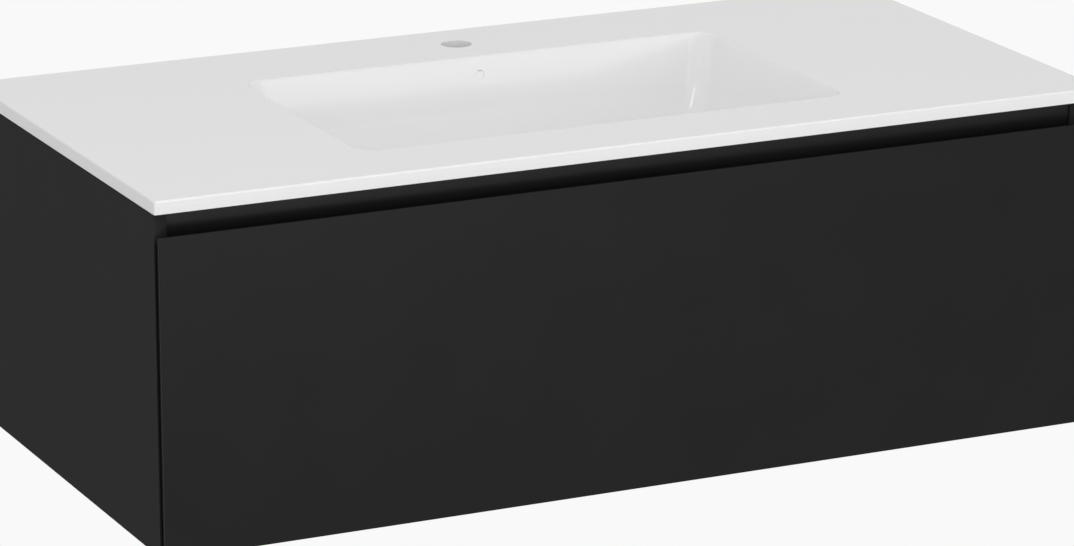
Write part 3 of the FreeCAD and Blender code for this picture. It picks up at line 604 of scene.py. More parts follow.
class Shape:
    """A mesh in the making."""

    def __init__(self) -> None:
        """Start with an empty mesh."""
        self.mesh = bmesh.new()

    @classmethod
    def of_node(cls, node: str) -> "Shape":
        """Take a solid's form over with its flat faces whole, to be given rounded edges.

        Args:
            node: The solid's node.

        Returns:
            The shape.
        """
        shape = cls()
        shape.mesh.from_mesh(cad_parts[node].data)
        bmesh.ops.remove_doubles(shape.mesh, verts=shape.mesh.verts, dist=WELD)
        bmesh.ops.dissolve_limit(
            shape.mesh, angle_limit=FLAT_ANGLE, verts=shape.mesh.verts, edges=shape.mesh.edges
        )
        return shape

    def rows(self, rings: Sequence[Ring]) -> Rows:
        """Add the points of rings and return them row by row."""
        return [[self.mesh.verts.new(point) for point in ring] for ring in rings]

    def loft(
        self, rings: Sequence[Ring], skipped: Sequence[tuple[int, int]] = (), ring: bool = False
    ) -> Rows:
        """Add faces between rings of the same count.

        Args:
            rings: The rings, in order.
            skipped: (row, column) pairs of faces that stay open.
            ring: Whether the last ring also joins the first.

        Returns:
            The rows of points.
        """
        rows = self.rows(rings)
        count = len(rows[0])
        for row in range(len(rows) if ring else len(rows) - 1):
            lower = rows[(row + 1) % len(rows)]
            for column in range(count):
                if (row, column) not in skipped:
                    after = (column + 1) % count
                    self.mesh.faces.new((rows[row][column], rows[row][after], lower[after], lower[column]))
        return rows

    def fill(self, *loops: Sequence[bmesh.types.BMVert]) -> None:
        """Fill the flat space between an outer loop and the loops inside it.

        Args:
            loops: The outer loop and those inside it.
        """
        edges = []
        for loop in loops:
            for first, second in zip(loop, [*loop[1:], loop[0]]):
                edges.append(self.mesh.edges.get((first, second)) or self.mesh.edges.new((first, second)))
        bmesh.ops.triangle_fill(self.mesh, use_beauty=True, use_dissolve=False, edges=edges)

    def cap(self, loop: Sequence[bmesh.types.BMVert]) -> None:
        """Close a loop with one face."""
        self.mesh.faces.new(loop)

    def closed(self, rings: Sequence[Ring]) -> None:
        """Add faces between rings and close both ends.

        Args:
            rings: The rings, in order.
        """
        rows = self.loft(rings)
        self.cap(rows[0])
        self.cap(rows[-1])

    def turned(
        self, profile: Sequence[Pair], foot: Vector, axis: Vector, steps: int, hollow: bool = True
    ) -> None:
        """Add a turned form.

        Args:
            profile: (radius, height) pairs along its outline.
            foot: The point at height 0.
            axis: The direction of height.
            steps: How many faces go round.
            hollow: Whether the outline closes on itself, or ends on the axis in two caps.
        """
        rings = [round_ring(radius, foot + axis * height, axis, steps) for radius, height in profile]
        if hollow:
            self.loft(rings, ring=True)
        else:
            self.closed(rings)

    def block(self, low: Triple, high: Triple) -> None:
        """Add a block between two corners."""
        corners = ((low[0], low[1]), (high[0], low[1]), (high[0], high[1]), (low[0], high[1]))
        self.closed([[Vector((x, y, z)) for x, y in corners] for z in (low[2], high[2])])

    def soften(
        self, easing: Easing, chosen: Callable[[bmesh.types.BMEdge], bool] | None = None
    ) -> "Shape":
        """Round the sharp edges.

        Args:
            easing: How they are rounded.
            chosen: A further test of an edge.

        Returns:
            The same shape.
        """
        edges = []
        for edge in self.mesh.edges:
            sharp = edge.is_manifold and edge.calc_face_angle(0.0) > SHARP_ANGLE
            if sharp and edge.calc_length() >= easing.longer and (chosen is None or chosen(edge)):
                edges.append(edge)
        bmesh.ops.bevel(
            self.mesh, geom=edges, offset=easing.radius, offset_type="OFFSET", segments=easing.segments,
            profile=0.5, affect="EDGES", clamp_overlap=True,
        )
        return self

    def piece(self, name: str, finish: Finish, body: str, *nodes: str) -> None:
        """Make the piece, dress it and let it ride on its body.

        Args:
            name: The piece's name.
            finish: Its finish.
            body: The body that it rides on.
            nodes: The solids that it stands for.
        """
        bmesh.ops.recalc_face_normals(self.mesh, faces=self.mesh.faces)
        mesh = bpy.data.meshes.new(name)
        self.mesh.to_mesh(mesh)
        self.mesh.free()
        if "custom_normal" in mesh.attributes:
            mesh.attributes.remove(mesh.attributes["custom_normal"])
        mesh.polygons.foreach_set("use_smooth", [True] * len(mesh.polygons))
        mesh.set_sharp_from_angle(angle=CREASE_ANGLE)
        mesh.materials.clear()
        mesh.materials.append(finish.material())
        piece = bpy.data.objects.new(name, mesh)
        bpy.context.scene.collection.objects.link(piece)
        weighted = piece.modifiers.new("weighted normals", "WEIGHTED_NORMAL")
        weighted.keep_sharp = True
        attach(piece, body)
        if nodes:
            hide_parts(*nodes)
        log.info("%s on %s: %d faces", name, body, len(mesh.polygons))


@dataclass(frozen=True)
class Box:
    """The lowest and highest corners of a solid."""

    low: Vector
    high: Vector

    @property
    def middle(self) -> Vector:
        """Return the middle of the box."""
        return (self.low + self.high) / 2

    @property
    def size(self) -> Vector:
        """Return the box's size along each axis."""
        return self.high - self.low


def islands(node: str) -> list[Box]:
    """Find the separate solids in a node.

    Args:
        node: The node.

    Returns:
        The box of each solid.
    """
    mesh = bmesh.new()
    mesh.from_mesh(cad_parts[node].data)
    bmesh.ops.remove_doubles(mesh, verts=mesh.verts, dist=WELD)
    boxes = []
    seen = set()
    for start in mesh.verts:
        if start in seen:
            continue
        seen.add(start)
        group = [start]
        for point in group:
            for edge in point.link_edges:
                other = edge.other_vert(point)
                if other not in seen:
                    seen.add(other)
                    group.append(other)
        axes = list(zip(*(point.co for point in group)))
        boxes.append(Box(Vector([min(axis) for axis in axes]), Vector([max(axis) for axis in axes])))
    mesh.free()
    return boxes


def dress(node: str, finish: Finish) -> None:
    """Give a solid that stays as it is a finish.

    Args:
        node: The solid's node.
        finish: The finish.
    """
    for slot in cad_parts[node].material_slots:
        slot.material = finish.material()
    log.info("%s keeps its form", node)


def soften_node(node: str, finish: Finish, body: str, easing: Easing) -> None:
    """Stand in for a node with its own form, its edges rounded."""
    Shape.of_node(node).soften(easing).piece(f"{node}_finished", finish, body, node)


@dataclass(frozen=True)
class PanScrew:
    """A pan-head screw with a cross recess.

    The rings are shares of the radius and of the length or height of their part.
    """

    head_radius: float
    head_height: float
    shank_radius: float
    steps: int = 32
    arm_reach: float = 0.56
    arm_width: float = 0.13
    least_offset: float = 0.01
    shank_rings: ClassVar[tuple[Pair, ...]] = ((0.3, 1.0), (1.0, 0.8), (1.0, 0.0))
    head_rings: ClassVar[tuple[Pair, ...]] = (
        (1.0, 0.0), (1.0, 0.35), (0.93, 0.75), (0.78, 0.96), (0.66, 1.0),
    )
    recess_rings: ClassVar[tuple[Pair, ...]] = ((1.0, 0.0), (0.82, 0.55))

    def add_to(self, shape: Shape, seat: Vector, axis: Vector, length: float) -> None:
        """Add one screw to a shape.

        Args:
            shape: The shape that it is added to.
            seat: The point under the head.
            axis: The direction from the tip to the head.
            length: The shank's length.
        """
        outline = [(self.shank_radius * wide, -length * far) for wide, far in self.shank_rings]
        outline += [(self.head_radius * wide, self.head_height * high) for wide, high in self.head_rings]
        rings = [round_ring(radius, seat + axis * height, axis, self.steps) for radius, height in outline]
        turn = axis.to_track_quat("Z", "Y")
        for size, depth in self.recess_rings:
            ring = []
            for angle in turns(self.steps):
                offset = max(abs(math.sin(2 * angle)) / 2, self.least_offset)
                reach = self.head_radius * size * min(self.arm_reach, self.arm_width / offset)
                ring.append(seat + turn @ polar(reach, angle, self.head_height * (1 - depth)))
            rings.append(ring)
        shape.closed(rings)


@dataclass
class CastTop:
    """The cast top with its basin, and the insert in its overflow."""

    width: float = 1.050
    depth: float = 0.522
    top: float = 0.090
    thickness: float = 0.014
    edge: float = 0.002
    edge_steps: int = 5
    arris: float = 0.0008
    least_corner: float = 0.00005
    slab_arc: int = 4
    bowl_half: Pair = (0.272, 0.1575)
    bowl_middle: float = -0.278
    bowl_floor: float = -0.015
    bowl_wall: float = 0.012
    bowl_corner: float = 0.024
    bowl_arc: int = 10
    rim_round: float = 0.0025
    rim_steps: int = 5
    draft: float = 0.008
    draft_height: float = 0.0425
    floor_round: float = 0.060
    floor_steps: int = 12
    outer_steps: int = 10
    outer_inset: float = 0.0015
    dish_radius: float = 0.0805
    dish_drop: float = 0.003
    dish_step: float = 0.0001
    dish_slope: Pair = (0.012, 0.0006)
    seat_radius: float = 0.033
    seat_drop: float = 0.0045
    seat_edge: float = 0.0008
    drain_radius: float = 0.0225
    tap_from_wall: float = 0.0625
    tap_radius: float = 0.0165
    tap_profile: tuple[Pair, ...] = (
        (0.0003, 0.0), (0.0001, 0.0001), (0.0, 0.0003), (0.0, 0.0135), (0.0004, 0.014),
    )
    tap_steps: int = 48
    overflow_radius: float = 0.0085
    overflow_drop: float = 0.020
    overflow_lip: float = 0.0007
    overflow_steps: int = 40
    tunnel_end: float = -0.0975
    boss: tuple[Triple, Triple] = ((-0.020, -0.116, 0.046), (0.020, -0.0865, 0.0765))
    patch: Pair = (0.056, 0.084)
    patch_share: float = 0.0565
    insert_depth: float = 0.0022
    insert_bore: float = 0.0044
    weir_share: float = 0.86
    weir_thickness: float = 0.001
    body: str = "cabinet"

    @property
    def turn_z(self) -> float:
        """Return the height at which the basin's wall turns into its floor."""
        return self.bowl_floor + self.floor_round

    @property
    def rear_shares(self) -> tuple[float, ...]:
        """Return the shares that divide the basin's long sides, with the overflow's patch."""
        return (-0.8, -0.4, -self.patch_share, self.patch_share, 0.4, 0.8)

    def bowl_ring(self, inset: float, corner: float, z: float) -> Ring:
        """Return the basin's opening drawn in by an inset.

        Args:
            inset: How far it is drawn in.
            corner: The corners' radius.
            z: The ring's height.

        Returns:
            The ring.
        """
        half = (self.bowl_half[0] - inset, self.bowl_half[1] - inset)
        runs = (self.rear_shares, (-0.6, 0.0, 0.6))
        return rounded_ring(half, corner, Vector((0, self.bowl_middle, z)), runs, self.bowl_arc)

    def floor_circle(self, radius: float, z: float) -> Ring:
        """Return a circle about the drain whose points match the basin's rings.

        Args:
            radius: The circle's radius.
            z: Its height.

        Returns:
            The circle.
        """
        middle = Vector((0, self.bowl_middle, z))
        points = []
        for point in self.bowl_ring(0.0, self.bowl_corner, z):
            offset = point - middle
            angle = math.atan2(offset.y / self.bowl_half[1], offset.x / self.bowl_half[0])
            points.append(middle + polar(radius, angle))
        return points

    def slab_ring(self, inset: float, z: float) -> Ring:
        """Return the slab's outline drawn in by an inset.

        Args:
            inset: How far it is drawn in.
            z: The ring's height.

        Returns:
            The ring.
        """
        half = (self.width / 2 - inset, self.depth / 2 - inset)
        corner = max(self.edge - inset, self.least_corner)
        halves = (-0.5, 0.0, 0.5)
        return rounded_ring(half, corner, Vector((0, -self.depth / 2, z)), (halves, halves), self.slab_arc)

    def wall_inset(self, z: float) -> float:
        """Return how far the basin's drafted wall stands in at a height."""
        return self.draft * (self.top - self.rim_round - z) / self.draft_height

    def wall_circle(self, radius: float, sunk: float) -> Ring:
        """Return a circle about the overflow, on the basin's rear wall and sunk into it.

        Args:
            radius: The circle's radius.
            sunk: How deep it lies in the wall.

        Returns:
            The circle.
        """
        points = []
        for angle in turns(self.overflow_steps):
            z = self.top - self.overflow_drop + radius * math.sin(angle)
            y = self.bowl_middle + self.bowl_half[1] - self.wall_inset(z) + sunk
            points.append(Vector((radius * math.cos(angle), y, z)))
        return points

    def rim_rings(self) -> list[Ring]:
        """Round the basin's rim.

        Returns:
            The rings from the top face down to the wall.
        """
        rings = []
        for angle in quarter(self.rim_steps):
            spread = self.rim_round * (1 - math.sin(angle))
            drop = self.rim_round * (1 - math.cos(angle))
            rings.append(self.bowl_ring(-spread, self.bowl_corner + spread, self.top - drop))
        return rings

    def wall_rings(self) -> list[Ring]:
        """Draw the drafted wall and the round below it.

        Returns:
            The rings from the overflow's patch down to the floor.
        """
        rings = [self.bowl_ring(self.wall_inset(z), self.bowl_corner, z) for z in reversed(self.patch)]
        lean = math.atan2(self.draft, self.draft_height)
        turn_inset = self.wall_inset(self.turn_z) + self.floor_round / math.cos(lean)
        for step in range(self.floor_steps + 1):
            angle = lean + (QUARTER_TURN - lean) * step / self.floor_steps
            inset = turn_inset - self.floor_round * math.cos(angle)
            z = self.turn_z - self.floor_round * math.sin(angle)
            rings.append(self.bowl_ring(inset, self.bowl_corner, z))
        return rings

    def drain_rings(self) -> list[Ring]:
        """Draw the dish in the floor, the waste's seat and the drain.

        Returns:
            The rings from the floor through the drain to the underside.
        """
        dish = self.bowl_floor - self.dish_drop
        seat = dish - self.seat_drop
        under = self.bowl_floor - self.bowl_wall
        profile = (
            (self.dish_radius, self.bowl_floor - self.dish_step),
            (self.seat_radius + self.dish_slope[0], dish + self.dish_slope[1]),
            (self.seat_radius + self.seat_edge, dish),
            (self.seat_radius, dish - self.seat_edge),
            (self.seat_radius, seat),
            (self.drain_radius, seat),
            (self.drain_radius, under),
            (self.drain_radius * 2, under),
        )
        return [self.floor_circle(radius, z) for radius, z in profile]

    def outer_rings(self) -> list[Ring]:
        """Draw the outside of the basin.

        Returns:
            The rings from the underside up to the slab.
        """
        radius = self.floor_round + self.bowl_wall
        corner = self.bowl_corner + self.bowl_wall
        rings = []
        for angle in reversed(quarter(self.outer_steps)):
            inset = self.draft - self.bowl_wall + radius * (1 - math.cos(angle))
            rings.append(self.bowl_ring(inset, corner, self.turn_z - radius * math.sin(angle)))
        rings.append(self.bowl_ring(self.outer_inset - self.bowl_wall, corner, self.top - self.thickness))
        return rings

    def slab_rings(self) -> list[Ring]:
        """Draw the slab's edge, rounded above and eased below.

        Returns:
            The rings from the top face to the underside.
        """
        rings = []
        for angle in quarter(self.edge_steps):
            inset = self.edge * (1 - math.sin(angle))
            rings.append(self.slab_ring(inset, self.top - self.edge * (1 - math.cos(angle))))
        underside = self.top - self.thickness
        for across, down in reversed(EASED):
            rings.append(self.slab_ring(self.arris * across, underside + self.arris * down))
        return rings

    def tap_rings(self) -> list[Ring]:
        """Draw the tap hole.

        Returns:
            The rings from the top face to the underside.
        """
        rings = []
        for spread, drop in self.tap_profile:
            middle = Vector((0, -self.tap_from_wall, self.top - drop))
            rings.append(round_ring(self.tap_radius + spread, middle, ALONG_Z, self.tap_steps))
        return rings

    def tunnel_rings(self) -> list[Ring]:
        """Draw the overflow's tunnel behind its eased mouth.

        Returns:
            The rings from the basin's wall to the tunnel's end.
        """
        lip = self.overflow_lip
        rings = [self.wall_circle(self.overflow_radius + lip * out, lip * down) for out, down in EASED]
        end = [Vector((point.x, self.tunnel_end, point.z)) for point in rings[-1]]
        return [*rings, end]

    def build(self) -> None:
        """Build the top, the insert of the overflow and the sealant."""
        shape = Shape()
        row = self.rim_steps + 1
        column = self.bowl_arc + 1 + self.rear_shares.index(-self.patch_share)
        rings = [*self.rim_rings(), *self.wall_rings(), *self.drain_rings(), *self.outer_rings()]
        basin = shape.loft(rings, skipped=[(row, column)])
        slab = shape.loft(self.slab_rings())
        tap = shape.loft(self.tap_rings())
        shape.fill(slab[0], basin[0], tap[0])
        shape.fill(slab[-1], basin[-1], tap[-1])
        tunnel = shape.loft(self.tunnel_rings())
        shape.cap(tunnel[-1])
        upper, lower = basin[row], basin[row + 1]
        window = [upper[column], upper[column + 1], lower[column + 1], lower[column]]
        shape.fill(window, tunnel[0])
        shape.block(*self.boss)
        shape.piece("cast_top_with_basin", CAST_WHITE, self.body, "basin_top")
        self.insert()
        dress("top_sealant", SEALANT)

    def insert(self) -> None:
        """Build the white insert in the overflow: a flush ring, a short bore and a weir set back in it."""
        shape = Shape()
        outer, bore = self.overflow_radius, self.insert_bore
        flush = -0.05 * MM
        profile = (
            (outer - 0.1 * MM, self.insert_depth), (outer - 0.1 * MM, 0.8 * MM),
            (outer + 0.75 * MM, 0.0), (outer + 0.7 * MM, flush),
            (bore + 0.4 * MM, flush), (bore + 0.1 * MM, 0.15 * MM),
            (bore, 0.5 * MM), (bore, self.insert_depth),
        )
        rim = [self.wall_circle(radius, sunk) for radius, sunk in profile]
        shape.loft(rim, ring=True)
        z = self.top - self.overflow_drop
        crest = z + self.weir_share * bore
        back = [point for point in rim[-1] if point.z <= crest]
        back.sort(key=lambda point: math.atan2(-point.x, point.z - z) % (2 * math.pi))
        shape.closed([[point - ALONG_Y * self.weir_thickness for point in back], back])
        shape.piece("overflow_insert", CAST_WHITE, self.body)


@dataclass
class Waste:
    """The waste under the basin, its push plug and the overflow's pipe."""

    middle: float = -0.278
    flange_top: float = -0.018
    flange_radius: float = 0.032
    flange_thickness: float = 0.003
    flange_edge: tuple[Pair, ...] = ((0.0, 0.0014), (0.0004, 0.0005), (0.0013, 0.0))
    mouth: tuple[Pair, ...] = ((0.0025, 0.0003), (0.0006, 0.0012), (0.0, 0.003))
    barrel_radius: float = 0.0205
    barrel_steps: int = 64
    bore: float = 0.0175
    sunk: float = 0.001
    tail: Pair = (-0.073, -0.091)
    tail_radius: float = 0.02095
    thread_depth: float = 0.0009
    thread_pitch: float = 0.0023
    thread_start: float = 0.0004
    thread_crest: Pair = (0.45, 0.55)
    inlet_height: float = -0.063
    inlet_end: float = -0.2375
    inlet_steps: int = 40
    pipe_radius: float = 0.009
    pipe_bore: float = 0.007
    pipe_edge: float = 0.0004
    pipe_y: float = -0.0975
    pipe_top: float = 0.046
    pipe_steps: int = 32
    upper_run: Pair = (0.015, 0.017)
    lower_run: Triple = (0.011, 0.009, 0.0)
    bend: float = 0.026
    bend_steps: int = 12
    plug_radius: float = 0.029
    plug: Pair = (-0.010, -0.005)
    plug_steps: int = 72
    plug_foot: float = 0.001
    plug_edge: float = 0.0008
    plug_crown: float = 0.0009
    plug_round: Pair = (0.0012, 0.001)
    plug_round_steps: int = 4
    plug_dome: float = 0.0008
    dome_shares: tuple[float, ...] = (0.8, 0.55, 0.3, 0.08)
    stem_radius: float = 0.004
    stem_tip: float = 0.8
    stem_fillet: float = 0.0015
    spider: Pair = (-0.042, -0.032)
    hub_radius: float = 0.007
    hub_bore: float = 0.0043
    hub_edge: float = 0.0005
    hub_steps: int = 32
    rib: float = 0.0025
    ribs: int = 3
    nut_play: float = 0.0001
    nut_rib: float = 0.0007
    nut_steps: int = 96
    nut_edges: Easing = Easing(0.0008, longer=0.005)
    seal_edges: Easing = Easing(0.0004)
    body: str = "cabinet"

    def barrel_outline(self) -> list[Pair]:
        """Draw the barrel with its threaded tail and its flange.

        Returns:
            (radius, height) pairs from the tail's end up to the mouth.
        """
        low = self.tail[1]
        root = self.tail_radius - self.thread_depth
        outline = [(self.bore, low), (root, low)]
        for turn in range(int((self.tail[0] - low) / self.thread_pitch)):
            z = low + self.thread_start + turn * self.thread_pitch
            outline.append((root, z))
            outline += [(self.tail_radius, z + self.thread_pitch * share) for share in self.thread_crest]
        top = self.flange_top
        under = top - self.flange_thickness
        outline += [(self.barrel_radius, self.tail[0]), (self.barrel_radius, under)]
        outline.append((self.flange_radius, under))
        outline += [(self.flange_radius - inward, top - drop) for inward, drop in self.flange_edge]
        outline += [(self.bore + outward, top - drop) for outward, drop in self.mouth]
        return outline

    def add_spider(self, shape: Shape, foot: Vector) -> None:
        """Add the plug's hub and the three ribs that carry it.

        Args:
            shape: The shape that they are added to.
            foot: The point of the waste's axis at height 0.
        """
        low, high = self.spider
        hub = [
            (self.hub_bore, low), (self.hub_radius, low), (self.hub_radius, high - self.hub_edge),
            (self.hub_radius - self.hub_edge, high), (self.hub_bore, high),
        ]
        shape.turned(hub, foot, ALONG_Z, self.hub_steps)
        for angle in turns(self.ribs):
            out = polar(1.0, angle)
            across = ALONG_Z.cross(out) * (self.rib / 2)
            near = foot + out * (self.hub_radius - self.hub_edge)
            far = foot + out * (self.bore + self.sunk)
            corners = (near - across, far - across, far + across, near + across)
            shape.closed([[corner + ALONG_Z * z for corner in corners] for z in (low, high)])

    def barrel(self) -> None:
        """Build the chromed barrel with its flange, inlet, spider and threaded tail."""
        shape = Shape()
        foot = Vector((0, self.middle, 0))
        shape.turned(self.barrel_outline(), foot, ALONG_Z, self.barrel_steps)
        start = self.bore + self.sunk
        reach = self.inlet_end - self.middle
        inlet = [
            (self.pipe_radius, start), (self.pipe_radius, reach - self.pipe_edge),
            (self.pipe_radius - self.pipe_edge, reach), (self.pipe_bore, reach), (self.pipe_bore, start),
        ]
        shape.turned(inlet, foot + ALONG_Z * self.inlet_height, ALONG_Y, self.inlet_steps)
        self.add_spider(shape, foot)
        shape.piece("waste_barrel", CHROME, self.body, "waste_body")

    def plug_cap(self) -> None:
        """Build the plug: a low dome with a turned edge on a stem."""
        low, high = self.plug
        tip = self.spider[0]
        shoulder = high - 2 * self.plug_crown
        outline = [
            (self.stem_radius * self.stem_tip, tip), (self.stem_radius, tip + self.plug_edge),
            (self.stem_radius, low - self.stem_fillet), (self.stem_radius + self.stem_fillet, low),
            (self.plug_radius - self.plug_foot, low), (self.plug_radius, low + self.plug_edge),
            (self.plug_radius, shoulder),
        ]
        across, rise = self.plug_round
        for angle in quarter(self.plug_round_steps)[1:]:
            reach = self.plug_radius - across * (1 - math.cos(angle))
            outline.append((reach, shoulder + rise * math.sin(angle)))
        for share in self.dome_shares:
            outline.append((self.plug_radius * share, high - self.plug_dome * share * share))
        shape = Shape()
        shape.turned(outline, Vector((0, self.middle, 0)), ALONG_Z, self.plug_steps, hollow=False)
        shape.piece("push_plug", CHROME, "plug", "waste_plug")

    def pipe_places(self) -> list[tuple[Vector, Vector]]:
        """Lead the overflow's pipe down, round its bend and forward to the waste.

        Returns:
            Points on its axis with the direction there.
        """
        places = []
        for drop in (0.0, *self.upper_run):
            places.append((Vector((0, self.pipe_y, self.pipe_top - drop)), -ALONG_Z))
        centre = Vector((0, self.pipe_y - self.bend, self.inlet_height + self.bend))
        for angle in quarter(self.bend_steps):
            out = Vector((0, math.cos(angle), -math.sin(angle)))
            ahead = Vector((0, -math.sin(angle), -math.cos(angle)))
            places.append((centre + out * self.bend, ahead))
        for short in self.lower_run:
            places.append((Vector((0, self.inlet_end + short, self.inlet_height)), -ALONG_Y))
        return places

    def pipe(self) -> None:
        """Build the overflow's bent pipe."""
        walls = []
        for radius in (self.pipe_radius, self.pipe_bore):
            rings = []
            for point, ahead in self.pipe_places():
                up = ALONG_X.cross(ahead)
                ring = []
                for angle in turns(self.pipe_steps):
                    ring.append(point + (ALONG_X * math.cos(angle) + up * math.sin(angle)) * radius)
                rings.append(ring)
            walls.append(rings)
        shape = Shape()
        shape.loft([*walls[0], *reversed(walls[1])], ring=True)
        shape.piece("overflow_bent_pipe", WHITE_PLASTIC, self.body, "overflow_pipe")

    def ribbed_nut(self, shape: Shape, box: Box, axis: Vector) -> None:
        """Add a hand nut with grip ribs.

        Args:
            shape: The shape that it is added to.
            box: The box of its solid.
            axis: The direction of its bore.
        """
        half = abs(box.size.dot(axis)) / 2
        radius = box.size.x / 2
        turn = axis.to_track_quat("Z", "Y")
        profile = (
            (-half, 0.93), (-half + 1 * MM, 1.0), (half - 3 * MM, 1.0), (half - 2 * MM, 0.93), (half, 0.9),
        )
        rings = []
        for height, share in profile:
            ring = []
            for step, angle in enumerate(turns(self.nut_steps)):
                dip = self.nut_rib if step % 4 in (2, 3) and share == 1.0 else 0.0
                ring.append(box.middle + turn @ polar(radius * share - dip, angle, height))
            rings.append(ring)
        bore = self.pipe_radius + self.nut_play
        for height in (half, -half):
            rings.append(round_ring(bore, box.middle + axis * height, axis, self.nut_steps))
        shape.loft(rings, ring=True)

    def build(self) -> None:
        """Build every piece of the waste."""
        self.barrel()
        self.plug_cap()
        self.pipe()
        nuts = Shape()
        for box in islands("overflow_nuts"):
            self.ribbed_nut(nuts, box, -ALONG_Z if box.size.z < box.size.x else ALONG_Y)
        nuts.piece("overflow_hand_nuts", WHITE_PLASTIC, self.body, "overflow_nuts")
        soften_node("waste_nut", WHITE_PLASTIC, self.body, self.nut_edges)
        for seal in ("waste_upper_seal", "waste_lower_seal"):
            soften_node(seal, RUBBER, self.body, self.seal_edges)


@dataclass
class Cabinet:
    """The boards of the cabinet and the fittings that join them."""

    panel_edges: Easing = Easing(0.0006, 3, 0.012)
    board_edges: Easing = Easing(0.0005, longer=0.012)
    lock_edges: Easing = Easing(0.00025)
    stop_foot: tuple[Pair, ...] = ((0.9, 0.0), (1.0, 0.2), (1.0, 0.35))
    stop_steps: int = 32
    dome_steps: int = 6
    rail_screw: PanScrew = PanScrew(0.004, 0.0018, 0.002)
    body: str = "cabinet"

    def boards(self) -> None:
        """Build the panels and rails, their long edges eased."""
        for side in Side:
            soften_node(side.named("side_panel"), BLACK_PANEL_PAINTED_SHEEN, self.body, self.panel_edges)
        soften_node("front_rail", BLACK_RAIL_PAINTED_SHADE, self.body, self.board_edges)
        for node in ("bottom_panel", "rear_rail", "lower_rear_rail"):
            soften_node(node, CARCASS_BOARD, self.body, self.board_edges)

    def stops(self) -> None:
        """Build the soft stops behind the drawer front as low domes."""
        shape = Shape()
        for box in islands("bump_stops"):
            radius = box.size.x / 2
            height = box.size.y
            outline = [(radius * wide, height * share) for wide, share in self.stop_foot]
            rim = self.stop_foot[-1][1]
            for angle in quarter(self.dome_steps)[1:-1]:
                outline.append((radius * math.cos(angle), height * (rim + (1 - rim) * math.sin(angle))))
            foot = Vector((box.middle.x, box.high.y, box.middle.z))
            shape.turned(outline, foot, -ALONG_Y, self.stop_steps, hollow=False)
        shape.piece("soft_stops", RUBBER, self.body, "bump_stops")

    def screws(self) -> None:
        """Build the screws that hold the cabinet rails."""
        shape = Shape()
        for box in islands("rail_screws"):
            inward = -1 if box.middle.x > 0 else 1
            tip, crown = (box.high.x, box.low.x) if inward < 0 else (box.low.x, box.high.x)
            seat = Vector((crown - inward * self.rail_screw.head_height, box.middle.y, box.middle.z))
            self.rail_screw.add_to(shape, seat, ALONG_X * inward, abs(seat.x - tip))
        shape.piece("cabinet_rail_screws", ZINC_STEEL, self.body, "rail_screws")

    def build(self) -> None:
        """Build the boards, stops and fittings."""
        self.boards()
        self.stops()
        self.screws()
        soften_node("cam_locks", CAM_ZINC, self.body, self.lock_edges)
        dress("cam_bolts", ZINC_STEEL)
        dress("wood_dowels", BEECH)


@dataclass
class WallHanging:
    """The wall plates and the hangers that hook on them."""

    plate_edges: Easing = Easing(0.0006, longer=0.003)
    hook_edges: Easing = Easing(0.0006)
    case_edges: Easing = Easing(0.0015, 3, 0.020)
    rib_height: float = 0.0012
    rib_root: float = 0.001
    rib_width: float = 0.002
    rib_pitch: float = 0.005
    rib_start: float = 0.008
    rib_margin: float = 0.012
    rib_inset: float = 0.005
    adjuster: PanScrew = PanScrew(0.004, 0.0025, 0.003)
    adjuster_length: float = 0.004
    body: str = "cabinet"

    def case(self, side: Side) -> None:
        """Build one hanger's moulded case, with ribs along its inner face.

        Args:
            side: The hanger's hand.
        """
        node = side.named("hanger")
        shape = Shape.of_node(node).soften(self.case_edges)
        box = Box(*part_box(node))
        face = box.low.x if side is Side.RIGHT else box.high.x
        outward = -side.value
        near, far = sorted((face - outward * self.rib_root, face + outward * self.rib_height))
        bottom, top = box.low.z + self.rib_inset, box.high.z - self.rib_inset
        for index in range(int((box.size.y - self.rib_margin) / self.rib_pitch)):
            y = box.low.y + self.rib_start + index * self.rib_pitch
            shape.block((near, y, bottom), (far, y + self.rib_width, top))
        shape.piece(side.named("hanger_case"), GREY_PLASTIC, self.body, node)

    def build(self) -> None:
        """Build the plates, hooks, cases and adjusting screws."""
        for side in Side:
            soften_node(side.named("wall_plate"), ZINC_STEEL, self.body, self.plate_edges)
            soften_node(side.named("hanger_hook"), ZINC_STEEL, self.body, self.hook_edges)
            self.case(side)
        shape = Shape()
        for box in islands("hanger_screws"):
            seat = Vector((box.middle.x, box.high.y, box.middle.z))
            self.adjuster.add_to(shape, seat, -ALONG_Y, self.adjuster_length)
        shape.piece("hanger_adjusting_screws", ZINC_STEEL, self.body, "hanger_screws")


